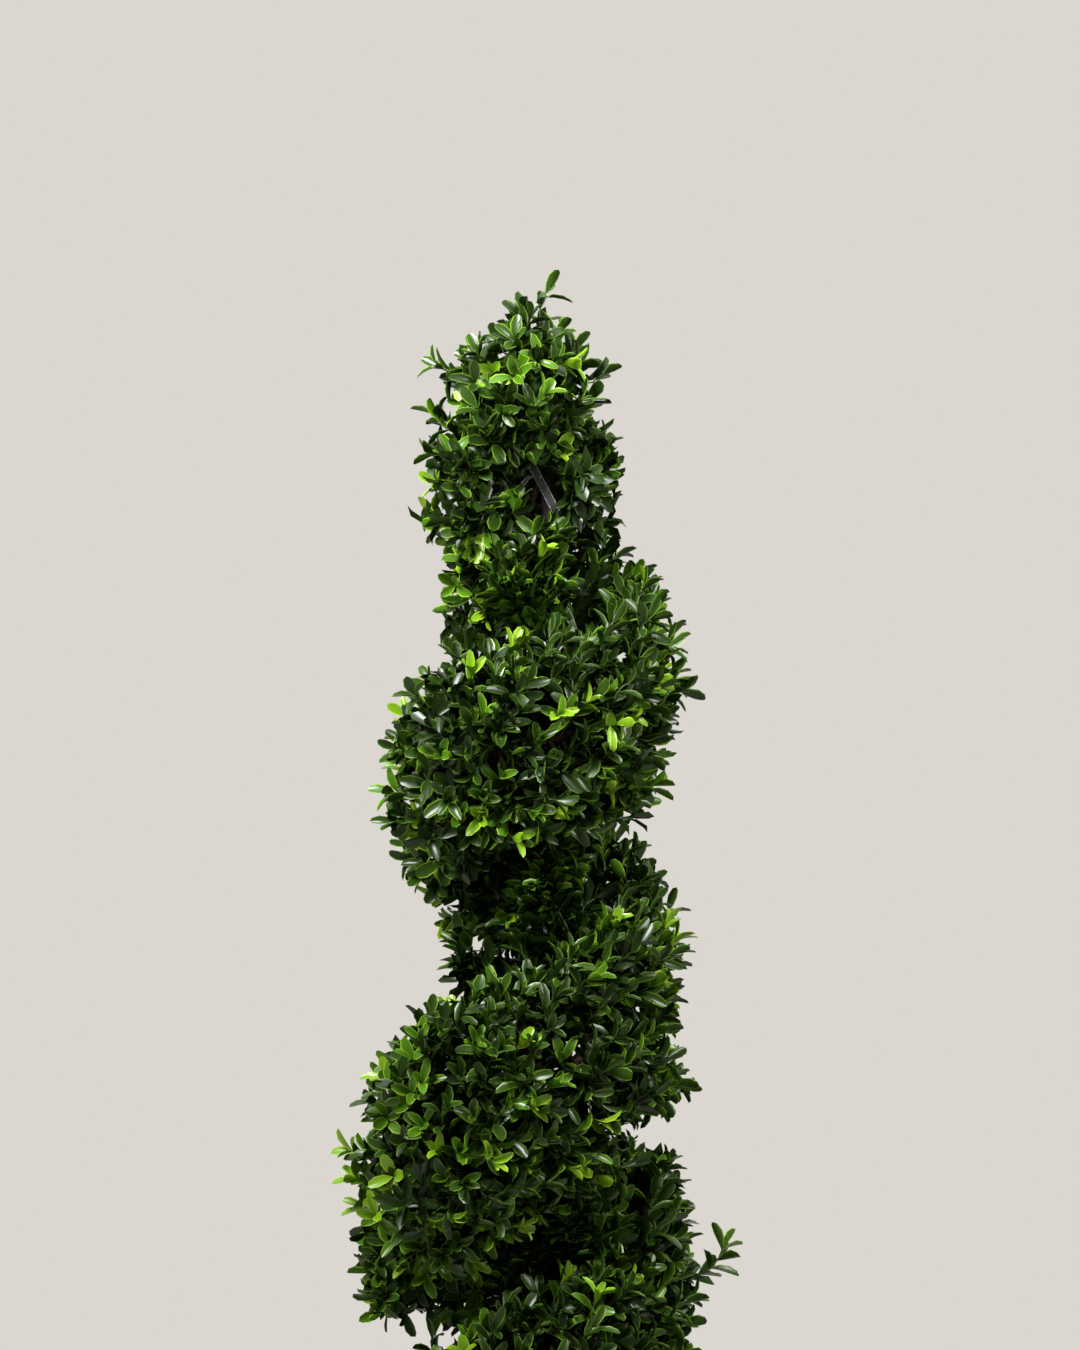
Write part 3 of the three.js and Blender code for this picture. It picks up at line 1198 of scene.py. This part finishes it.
    def _leaves(
        self, line: list[Vector], tint: Leafage, outer: bool, sprays: Sprays, draw: random.Random
    ) -> None:
        """Set opposite pairs of leaves along a twig, each pair across the last, and a tuft at its tip."""
        lengths = [0.0]
        for a, b in zip(line, line[1:]):
            lengths.append(lengths[-1] + (b - a).length)
        total = lengths[-1]
        leafy = min(total * 0.94, draw.uniform(*(self.outer_leafy if outer else self.inner_leafy)))
        phase = draw.uniform(0.0, math.tau)
        across = None
        back = 0.0
        pair = 0
        while back < leafy:
            at = total - back
            i = max(1, next((k for k, s in enumerate(lengths) if s >= at), len(lengths) - 1))
            share = (at - lengths[i - 1]) / max(lengths[i] - lengths[i - 1], 1e-9)
            place = line[i - 1].lerp(line[i], share)
            ahead = (line[i] - line[i - 1]).normalized()
            if across is None:
                across = ahead.orthogonal().normalized()
            across = (across - ahead * across.dot(ahead)).normalized()
            young = max(0.0, 1.0 - pair / self.young_pairs)
            for half in (0.0, math.pi):
                turn = phase + half + pair * math.pi / 2 + draw.gauss(0.0, self.turn_error)
                outward = Quaternion(ahead, turn) @ across
                opening = self.spread - self.young_closing * young
                spread = math.radians(draw.gauss(opening, self.spread_error))
                along = ahead * math.cos(spread) + outward * math.sin(spread)
                face = ahead * math.sin(spread) - outward * math.cos(spread)
                face = Quaternion(along, draw.gauss(0.0, self.roll_error)) @ face
                size = self.leaf_size * draw.uniform(0.84, 1.10) * (1.0 - self.young_smaller * young)
                green = tint
                if outer and pair >= 2 and tint in (Leafage.FRESH, Leafage.LIME):
                    green = Leafage(tint.value - 1) if pair < 4 else Leafage.FULL
                rimmed = outer and pair < 5
                clear = (place + along * size).xy.length > self.bare_radius
                if clear and not self._open(place + along * size / 2):
                    shape = self.book.pick(rimmed, self.narrow, draw)
                    sprays.leaf(place, along, face, size, shape, green)
            back += self.tip_gap if pair == 0 else self.pair_spacing * draw.uniform(0.85, 1.15)
            pair += 1


# ---- Foliage as a whole ----


@dataclass
class Foliage:
    """All the masses of leaves, from the foot of the band to the crown."""

    climb: Climb
    sides: Sequence[tuple[str, float]] = (
        ("left", 180.0), ("front", 270.0), ("right", 360.0), ("back", 450.0),
    )
    turns: int = 3
    crown_spacing: float = 0.0240
    crown_leaf: float = 0.0286
    sunny_sweep: float = 0.84
    sunny_rise: float = 0.52
    sunny_spread: float = 39.0
    crown_roots: Sequence[Vector] = (
        mm(2, -1, 1345), mm(-4, 0, 1375), mm(-10, 0, 1405), mm(-13, 0, 1430), mm(-40, -2, 1300),
        mm(-48, 12, 1320), mm(-46, -12, 1350),
    )
    tufts: Sequence[Tuft] = (
        Tuft("turn3_front", mm(-4, -50, 1245), mm(45, 35, 48), 26),
        Tuft("turn3_front", mm(6, -34, 1276), mm(32, 18, 10), 9),
        Tuft("crown", mm(50, 10, 1345), mm(30, 40, 45), 16),
        Tuft("crown", mm(-2, -30, 1352), mm(36, 18, 18), 9),
        Tuft("crown", mm(38, -26, 1316), mm(14, 14, 24), 8),
        Tuft("crown", mm(-36, -24, 1304), mm(12, 14, 18), 7),
        Tuft("turn3_back", mm(-42, 0, 1220), mm(24, 35, 28), 8),
        Tuft("turn3_back", mm(-64, 0, 1180), mm(12, 20, 10), 4),
        Tuft("turn2_back", mm(0, 45, 1120), mm(55, 25, 45), 20),
        Tuft("turn2_front", mm(-62, 0, 905), mm(22, 35, 26), 8),
        Tuft("turn2_front", mm(4, -42, 955), mm(50, 25, 45), 24),
        Tuft("turn2_front", mm(10, -66, 985), mm(45, 26, 34), 14),
        Tuft("turn1_front", mm(4, -42, 645), mm(55, 25, 40), 22),
        Tuft("turn1_front", mm(36, -72, 684), mm(40, 28, 34), 16),
        Tuft("turn2_left", mm(-130, 0, 615), mm(40, 50, 55), 24),
        Tuft("turn2_right", mm(108, 0, 785), mm(30, 40, 25), 8),
        Tuft("turn1_right", mm(105, 0, 705), mm(30, 40, 25), 10),
    )
    strays: Sequence[Stray] = (
        Stray("crown", ((4.5, 0, 1496), (-90, -6, 1430), (52, 4, 1422), (-92, 4, 1385),
                        (-93, -8, 1352), (-92, 4, 1326))),
        Stray("turn3_back", ((-76, 0, 1234),)),
        Stray("turn3_right", ((118, -4, 1190), (128, 6, 1140))),
        Stray("turn3_left", ((-130, 0, 1022),)),
        Stray("turn2_right", ((120, 0, 912), (126, 0, 784), (112, 0, 858))),
        Stray("turn2_left", ((-168, 0, 725), (-163, -8, 701), (-159, 10, 674), (-156, -4, 652),
                             (-149, 6, 628), (-143, -4, 598), (-148, 0, 768), (-144, 0, 580))),
        Stray("turn1_right", ((112, 0, 708), (117, 4, 688), (119, -4, 668))),
        Stray("turn1_front", ((-96, -20, 562),)),
    )

    def build(self) -> None:
        """Grow every mass and keep its leaves and stems as pieces."""
        book = LeafBook()
        greens = {leafage: finish.materials() for leafage, finish in LEAF_FINISHES.items()}
        scatter = LeafScatter(book.collection(), greens)
        tubes = StemTubes(TwigFinish().material())
        masses = []
        for turn in range(1, self.turns + 1):
            for side, azimuth in self.sides:
                masses.append(self._mass(f"turn{turn}_{side}", azimuth + 360.0 * (turn - 1), book))
        crown = self._mass("crown", 1260.0, book, self.crown_roots)
        crown.spacing, crown.leaf_size = self.crown_spacing, self.crown_leaf
        masses.append(crown)
        for number, mass in enumerate(masses):
            sprays = mass.grow(700 + number)
            label = mass.node.removeprefix("leaves_")
            nodes = [mass.node]
            if label == "turn1_right":
                self._stray_twig(mass, sprays)
                nodes += ["leaves_twig", "twig_right"]
            keep(sprays.leaf_piece(f"sprays_{label}", scatter), "leaves", *nodes)
            keep(sprays.stem_piece(f"twigs_{label}", tubes), "bough")
            LOG.info("%s: %d leaves, %d stems", label, len(sprays.places), len(sprays.stems))

    def _mass(self, label: str, azimuth: float, book: LeafBook, roots: Sequence[Vector] = ()) -> Mass:
        """Set up one mass with its tufts and strays."""
        tufts = [tuft for tuft in self.tufts if tuft.mass == label]
        strays = [mm(*tip) for stray in self.strays if stray.mass == label for tip in stray.tips]
        mass = Mass("leaves_" + label, azimuth, self.climb, book, roots=roots, tufts=tufts, strays=strays)
        if label.endswith(("front", "right")):
            mass.sweep, mass.rise, mass.spread = self.sunny_sweep, self.sunny_rise, self.sunny_spread
            mass.narrow = True
        return mass

    def _stray_twig(self, mass: Mass, sprays: Sprays) -> None:
        """Grow the one twig that stands off the right side."""
        low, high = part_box("leaves_twig")
        tip = Vector(((low[0] + high[0]) / 2 - 0.010, (low[1] + high[1]) / 2, high[2] - 0.030))
        draw = random.Random(91)
        way, lean = Vector((0.9, 0.0, 0.3)).normalized(), Vector((0.35, 0.0, 0.94))
        mass.spray(mm(118, 0, 606), way, tip, lean, True, sprays, draw)


# ---- Trunk, bough and ties ----


@dataclass
class Trunk:
    """The upright trunk with furrowed bark, its foot on the fill and its tip in the crown."""

    foot_radius: float = 0.0125
    top_radius: float = 0.0058
    flare: float = 0.005
    flare_height: float = 0.020
    lean: float = 0.008
    sway: float = 0.0025
    rings: int = 260
    sides: int = 30
    furrow: float = 0.0011

    def centre(self, height: float) -> Vector:
        """Return the trunk's centre at a height."""
        low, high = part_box("trunk")
        share = (height - low[2]) / (high[2] - low[2])
        return Vector((self.lean * share, self.sway * math.sin(math.pi * share), height))

    def radius(self, height: float) -> float:
        """Return the trunk's mean radius at a height."""
        low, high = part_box("trunk")
        above = height - low[2]
        share = above / (high[2] - low[2])
        taper = self.foot_radius + (self.top_radius - self.foot_radius) * share
        return taper + self.flare * math.exp(-above / self.flare_height)

    def build(self) -> None:
        """Make the trunk and keep it in place of its solid."""
        low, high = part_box("trunk")
        heights = [low[2] + (high[2] - low[2]) * i / (self.rings - 1) for i in range(self.rings)]

        def relief(step: int, angle: float) -> float:
            """Give the bark's relief at a ring and an angle round it."""
            around_it = Vector((math.cos(angle), math.sin(angle), 0.0)) * 2.4
            fine = noise.noise(around_it + UP * heights[step] * 34.0)
            coarse = noise.noise(around_it * 0.45 + UP * heights[step] * 13.0)
            crack = -abs(noise.noise(around_it * 1.6 + UP * (heights[step] * 22.0 + 9.0)))
            return self.furrow * (0.8 * fine + 0.7 * coarse + 0.9 * crack)

        centres, radii = [self.centre(h) for h in heights], [self.radius(h) for h in heights]
        bark = smooth(mesh_of("trunk_bark", *tube(centres, radii, self.sides, relief)))
        keep(dressed("trunk_bark", bark, BarkFinish().material()), "bark", "trunk")


@dataclass
class WireBough:
    """The wrapped bough that carries the sprays, tied to the trunk at both ends."""

    climb: Climb
    foot: Sequence[tuple[float, float, float]] = (
        (24, 0.021, 0.182), (26, 0.0205, 0.206), (34, 0.024, 0.238), (52, 0.043, 0.270),
        (74, 0.058, 0.298),
    )
    top: Sequence[tuple[float, float, float]] = (
        (1242, 0.040, 1.291), (1261, 0.026, 1.286), (1264, 0.018, 1.292), (1272, 0.010, 1.303),
        (1292, 0.0047, 1.319), (1300, 0.0040, 1.336), (1290, 0.006, 1.380),
    )
    first: float = 98.0
    last: float = 1215.0
    step: float = 15.0
    foot_size: float = 0.0062
    top_size: float = 0.0030
    wrap_pitch: float = 0.0075
    wrap_depth: float = 0.0005
    wrap_bend: float = 1.6
    sides: int = 14
    ring_spacing: float = 0.0021
    taper: float = 1.2

    def path(self) -> list[Vector]:
        """List the bough's centre line from foot to top."""
        line = [around(*row) for row in self.foot]
        azimuth = self.first
        while azimuth <= self.last:
            line.append(self.climb.spine(azimuth))
            azimuth += self.step
        return line + [around(*row) for row in self.top]

    def growth(self, material: Material) -> Growth:
        """Build the tree: a smooth curve, a tube on it, and a wrap that winds round the tube."""
        growth = Growth("wrapped_bough")
        pitch = growth.input("Wrap pitch", "Float", self.wrap_pitch)
        depth = growth.input("Wrap depth", "Float", self.wrap_depth)
        spacing = growth.input("Ring spacing", "Float", self.ring_spacing)
        curve = growth.add("GeometryNodeMeshToCurve", inputs={"Mesh": growth.source})
        curve = growth.add("GeometryNodeCurveSplineType", {"spline_type": "CATMULL_ROM"}, {"Curve": curve})
        cut = {"Curve": curve, "Length": spacing}
        curve = growth.add("GeometryNodeResampleCurve", {"mode": "LENGTH"}, cut)
        along = growth.add("GeometryNodeSplineParameter", output="Length")
        curve = growth.store(curve, "along", along)
        share = growth.add("GeometryNodeSplineParameter", output="Index") / float(self.sides)
        ring = growth.store(growth.ring(self.sides), "round", share)
        made = growth.sweep(curve, ring, growth.attribute("radius", "FLOAT"))
        turns = growth.attribute("along", "FLOAT") / pitch + growth.attribute("round", "FLOAT")
        ridge = turns.maths("FRACT", turns)
        lift = (ridge ** self.wrap_bend) * depth - depth * 0.5
        normal = growth.add("GeometryNodeInputNormal")
        offset = growth.add("ShaderNodeVectorMath", {"operation": "SCALE"}, {0: normal, "Scale": lift})
        made = growth.add("GeometryNodeSetPosition", inputs={"Geometry": made, "Offset": offset})
        growth.finish(growth.dress(growth.real(made), material))
        return growth

    def build(self) -> None:
        """Make the bough and keep it in place of its two bare ends."""
        line = self.path()
        mesh = mesh_of("bough_wrapped", line, edges=[(i, i + 1) for i in range(len(line) - 1)])
        last = len(line) - 1
        narrowing = self.top_size - self.foot_size
        radii = [self.foot_size + narrowing * (i / last) ** self.taper for i in range(len(line))]
        mesh.attributes.new("radius", "FLOAT", "POINT").data.foreach_set("value", radii)
        growth = self.growth(WrapFinish().material())
        piece = growth.run("bough_wrapped", mesh, "along", "round", "radius")
        smooth(piece.data)
        keep(piece, "bough", "bough_foot", "bough_top")


@dataclass
class CableTie:
    """A toothed strap round the trunk and the bough, with its head and loose tail."""

    node: str
    trunk: Trunk
    height: float
    bough: Vector
    bough_radius: float
    slope: float
    tail: Sequence[Vector]
    width: float = 0.0048
    thickness: float = 0.0009
    rail: float = 0.0009
    slack: float = 0.0014
    belt_steps: int = 12
    tooth: float = 0.0005
    tooth_pitch: float = 0.0006
    tail_share: float = 0.55
    head: tuple[float, float, float] = (0.0046, 0.0062, 0.0062)
    head_bevel: float = 0.0008

    def _belt(self) -> list[Vector]:
        """Draw the strap's path round both stems."""
        post = self.trunk.centre(self.height)
        post_size = self.trunk.radius(self.height) + self.slack
        limb_size = self.bough_radius + self.slack
        apart = Vector((self.bough.x - post.x, self.bough.y - post.y))
        direction = math.atan2(apart.y, apart.x)
        spread = math.acos(max(-1.0, min(1.0, (post_size - limb_size) / apart.length)))
        line = []
        for centre, size, begin, end in (
            (self.bough, limb_size, direction - spread, direction + spread),
            (post, post_size, direction + spread, direction + math.tau - spread),
        ):
            for i in range(self.belt_steps + 1):
                angle = begin + (end - begin) * i / self.belt_steps
                x, y = centre.x + size * math.cos(angle), centre.y + size * math.sin(angle)
                line.append(Vector((x, y, self.height + self.slope * (post.x - x))))
        return line

    def _strap(
        self, line: Sequence[Vector], closed: bool, half: float, shift: float, toothed: bool
    ) -> bmesh.types.BMesh:
        """Sweep one flat strip of the strap along a path.

        Args:
            line: The path.
            closed: Whether its end joins its start.
            half: Half of the strip's width.
            shift: How far the strip lies beside the path.
            toothed: Whether its outer face has teeth.

        Returns:
            The strip.
        """
        mesh = bmesh.new()
        dense: list[Vector] = []
        count = len(line)
        for i in range(count if closed else count - 1):
            a, b = line[i], line[(i + 1) % count]
            parts = max(1, int((b - a).length / self.tooth_pitch))
            dense += [a.lerp(b, k / parts) for k in range(parts)]
        if not closed:
            dense.append(line[-1])
        centre = sum(dense, Vector()) / len(dense)
        thick = self.thickness / 2 if toothed else self.thickness / 4
        rings = []
        for i, place in enumerate(dense):
            before = dense[i - 1] if i or closed else dense[0]
            after = dense[(i + 1) % len(dense)] if i + 1 < len(dense) or closed else dense[-1]
            ahead = (after - before).normalized()
            outward = place - centre
            outward = (outward - ahead * outward.dot(ahead)).normalized()
            side = ahead.cross(outward)
            tooth = self.tooth if toothed and i % 3 == 0 else 0.0
            rings.append([
                mesh.verts.new(place + side * (shift + s * half) + outward * height)
                for s, height in ((-1, -thick), (1, -thick), (1, thick + tooth), (-1, thick + tooth))
            ])
        for a, b in list(zip(rings, rings[1:])) + ([(rings[-1], rings[0])] if closed else []):
            for k in range(4):
                mesh.faces.new((a[k], a[(k + 1) % 4], b[(k + 1) % 4], b[k]))
        if not closed:
            mesh.faces.new(rings[0])
            mesh.faces.new(rings[-1])
        return mesh

    def _head(self) -> bmesh.types.BMesh:
        """Make the rounded block that the strap runs through."""
        mesh = bmesh.new()
        head = bmesh.ops.create_cube(mesh, size=1.0)
        turn = (self.tail[1] - self.tail[0]).to_track_quat("Z", "Y").to_matrix().to_4x4()
        place = Matrix.Translation(self.tail[0]) @ turn @ Matrix.Diagonal((*self.head, 1.0))
        bmesh.ops.transform(mesh, matrix=place, verts=head["verts"])
        bmesh.ops.bevel(mesh, geom=list(mesh.edges), offset=self.head_bevel, segments=2, affect="EDGES")
        return mesh

    def build(self) -> None:
        """Make the tie and keep it in place of its solid."""
        edge = self.width / 2 - self.rail / 2
        inner = self.width / 2 - self.rail
        parts, webs = [self._head()], []
        for line, closed, scale in ((self._belt(), True, 1.0), (self.tail, False, self.tail_share)):
            for shift in (-edge, edge):
                parts.append(self._strap(line, closed, self.rail / 2, shift * scale, True))
            webs.append(len(parts))
            parts.append(self._strap(line, closed, inner * scale, 0.0, False))
        whole = bmesh.new()
        part_mesh = bpy.data.meshes.new("part")
        for number, part in enumerate(parts):
            bmesh.ops.recalc_face_normals(part, faces=part.faces)
            for face in part.faces:
                face.material_index = int(number in webs)
            part.to_mesh(part_mesh)
            whole.from_mesh(part_mesh)
            part.free()
        joined = bpy.data.meshes.new(self.node + "_strap")
        whole.to_mesh(joined)
        whole.free()
        bpy.data.meshes.remove(part_mesh)
        rail, web = TieFinish("tie_rail", 0.92).material(), TieFinish("tie_web", 0.14).material()
        keep(dressed(self.node.replace("tie", "strap"), joined, rail, web), "tie", self.node)


# ---- Pot ----


@dataclass
class Pot:
    """Plain moulded pot with a rolled rim and a foot ring, filled nearly to the rim."""

    foot_radius: float = 0.068
    wall: float = 0.003
    lip_width: float = 0.004
    lip_height: float = 0.016
    floor: float = 0.004
    sides: int = 96

    def build(self) -> None:
        """Make the pot and its fill."""
        _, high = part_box("pot")
        rim, top = high[0], high[2]
        body = rim - self.lip_width

        def side(height: float) -> float:
            """Give the outer wall's radius at a height."""
            return self.foot_radius + (body - self.foot_radius) * height / top

        foot, lip, inner = self.foot_radius, top - self.lip_height, side(top) - self.wall
        inside = self.floor + 0.002
        profile = [(0.0, 0.0035), (foot - 0.012, 0.0035), (foot - 0.009, 0.0), (foot - 0.0016, 0.0)]
        profile += [(foot, 0.0016), *((side(h), h) for h in (0.006, 0.03, 0.07, 0.11, lip - 0.004))]
        profile += [(side(lip) + 0.0004, lip - 0.0012), (rim - 0.0020, lip), (rim - 0.0006, lip + 0.0006)]
        profile += [(rim, lip + 0.0024), (rim - 0.0004, lip + 0.008), (rim, top - 0.0030)]
        profile += [(rim - 0.0006, top - 0.0010), (rim - 0.0022, top), (inner + 0.0016, top)]
        profile += [(inner + 0.0004, top - 0.0008), (inner, top - 0.0026), (side(0.1) - self.wall, 0.1)]
        profile += [(side(self.floor) - self.wall, inside), (0.0, inside)]
        shell = smooth(mesh_of("pot_moulded", *turned(profile, self.sides)))
        keep(dressed("pot_moulded", shell, PotFinish().material()), "pot", "pot")
        self._fill()

    def _fill(self) -> None:
        """Make the fill with an uneven top and keep it in place of its solid."""
        low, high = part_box("pot_fill")
        outer, top = high[0], high[2]
        rings, sides = 34, 96
        foot = self.foot_radius - self.wall - 0.0005
        profile = [(0.0, low[2]), (foot, low[2]), (outer - 0.0006, top - 0.006)]
        profile += [(outer * (1 - i / rings), top - 0.004 * (1 - i / rings) ** 2) for i in range(rings)]
        profile.append((0.0, top))
        points, faces = turned(profile, sides)
        for point in points:
            if point.z > top - 0.0055:
                edge = min(1.0, (outer - point.xy.length) / 0.004)
                rough = noise.noise(point * 260.0) * 0.0011 + noise.noise(point * 90.0) * 0.0013
                point.z += (rough - 0.0008) * edge
        cast = smooth(mesh_of("fill_cast", points, faces))
        keep(dressed("fill_cast", cast, FillFinish().material()), "fill", "pot_fill")


# ---- Studio ----


@dataclass(frozen=True)
class Softbox:
    """A square soft light that looks at the trunk."""

    name: str
    place: Vector
    size: float
    watts: float
    aim_height: float
    beam_degrees: float = 180.0

    def hang(self) -> None:
        """Hang the light."""
        data = bpy.data.lights.new(self.name, "AREA")
        data.size, data.energy = self.size, self.watts
        data.spread = math.radians(self.beam_degrees)
        made = add_object(self.name, data)
        made.location = self.place
        made.rotation_euler = (UP * self.aim_height - self.place).to_track_quat("-Z", "Y").to_euler()


@dataclass
class Studio:
    """Pale floor, soft light and the camera."""

    view_height: float = 1.1535
    distance: float = 4.0
    lens: float = 118.5
    sensor: float = 36.0
    backdrop: Colour = linear("dbd7d0")
    ambient: float = 0.1
    floor_radius: float = 3.4
    floor_sides: int = 96
    softboxes: Sequence[Softbox] = (
        Softbox("key_light", Vector((-0.80, -0.92, 2.20)), 0.7, 20.5, 1.5, 110.0),
        Softbox("fill_light", Vector((1.20, -0.72, 2.00)), 0.8, 14.0, 1.25, 120.0),
        Softbox("top_light", Vector((0.1, 0.5, 6.5)), 6.0, 205.0, 1.0),
        Softbox("back_light", Vector((0.5, 2.3, 1.5)), 1.4, 16.0, 1.0),
    )

    def camera(self) -> None:
        """Make the camera at the front, level with the middle of the crown."""
        data = bpy.data.cameras.new("camera")
        data.lens = self.lens
        data.sensor_width = self.sensor
        made = add_object("camera", data)
        made.location = (0.0, -self.distance, self.view_height)
        made.rotation_euler = (math.pi / 2, 0.0, 0.0)
        bpy.context.scene.camera = made

    def floor(self) -> None:
        """Lay the floor."""
        sides = self.floor_sides
        rim = [around(360.0 * i / sides, self.floor_radius, 0.0) for i in range(sides)]
        piece = dressed("floor", mesh_of("floor", rim, [tuple(range(sides))]), FloorFinish().material())

    def lights(self) -> None:
        """Hang the lights and set the backdrop."""
        world = bpy.data.worlds.new("backdrop")
        world.use_nodes = True
        graph = Graph(world.node_tree)
        seen = graph.add("ShaderNodeLightPath", output="Is Camera Ray")
        sky = world.node_tree.nodes["Background"]
        graph.connect(sky.inputs["Color"], (*self.backdrop, 1.0))
        graph.connect(sky.inputs["Strength"], seen * (1.0 - self.ambient) + self.ambient)
        bpy.context.scene.world = world
        bpy.context.scene.view_settings.view_transform = "Standard"
        for softbox in self.softboxes:
            softbox.hang()


def main() -> None:
    """Build the pieces in order, from the studio to the leaves."""
    logging.basicConfig(level=logging.INFO, format="%(name)s %(message)s")
    studio = Studio()
    studio.camera()
    studio.floor()
    studio.lights()
    Pot().build()
    trunk = Trunk()
    trunk.build()
    climb = Climb()
    WireBough(climb).build()
    foot_limb = around(26, 0.0205, 0.206)
    top_limb = around(212, 0.0047, 1.319)
    foot_tail = [foot_limb + Vector((0.010, 0.004, z)) for z in (0.0, -0.006, -0.012)]
    CableTie("tie_foot", trunk, 0.206, foot_limb, 0.0066, slope=0.0, tail=foot_tail).build()
    top_tail = [mm(-19.5, -9, 1307), mm(-18.5, -11, 1316), mm(-15.5, -12, 1324)]
    top_tail += [mm(-11.5, -11, 1330), mm(-8, -9, 1332)]
    CableTie("tie_top", trunk, 1.314, top_limb, 0.0034, slope=1.9, tail=top_tail, width=0.0075).build()
    Foliage(climb).build()


if __name__ == "__main__":
    main()
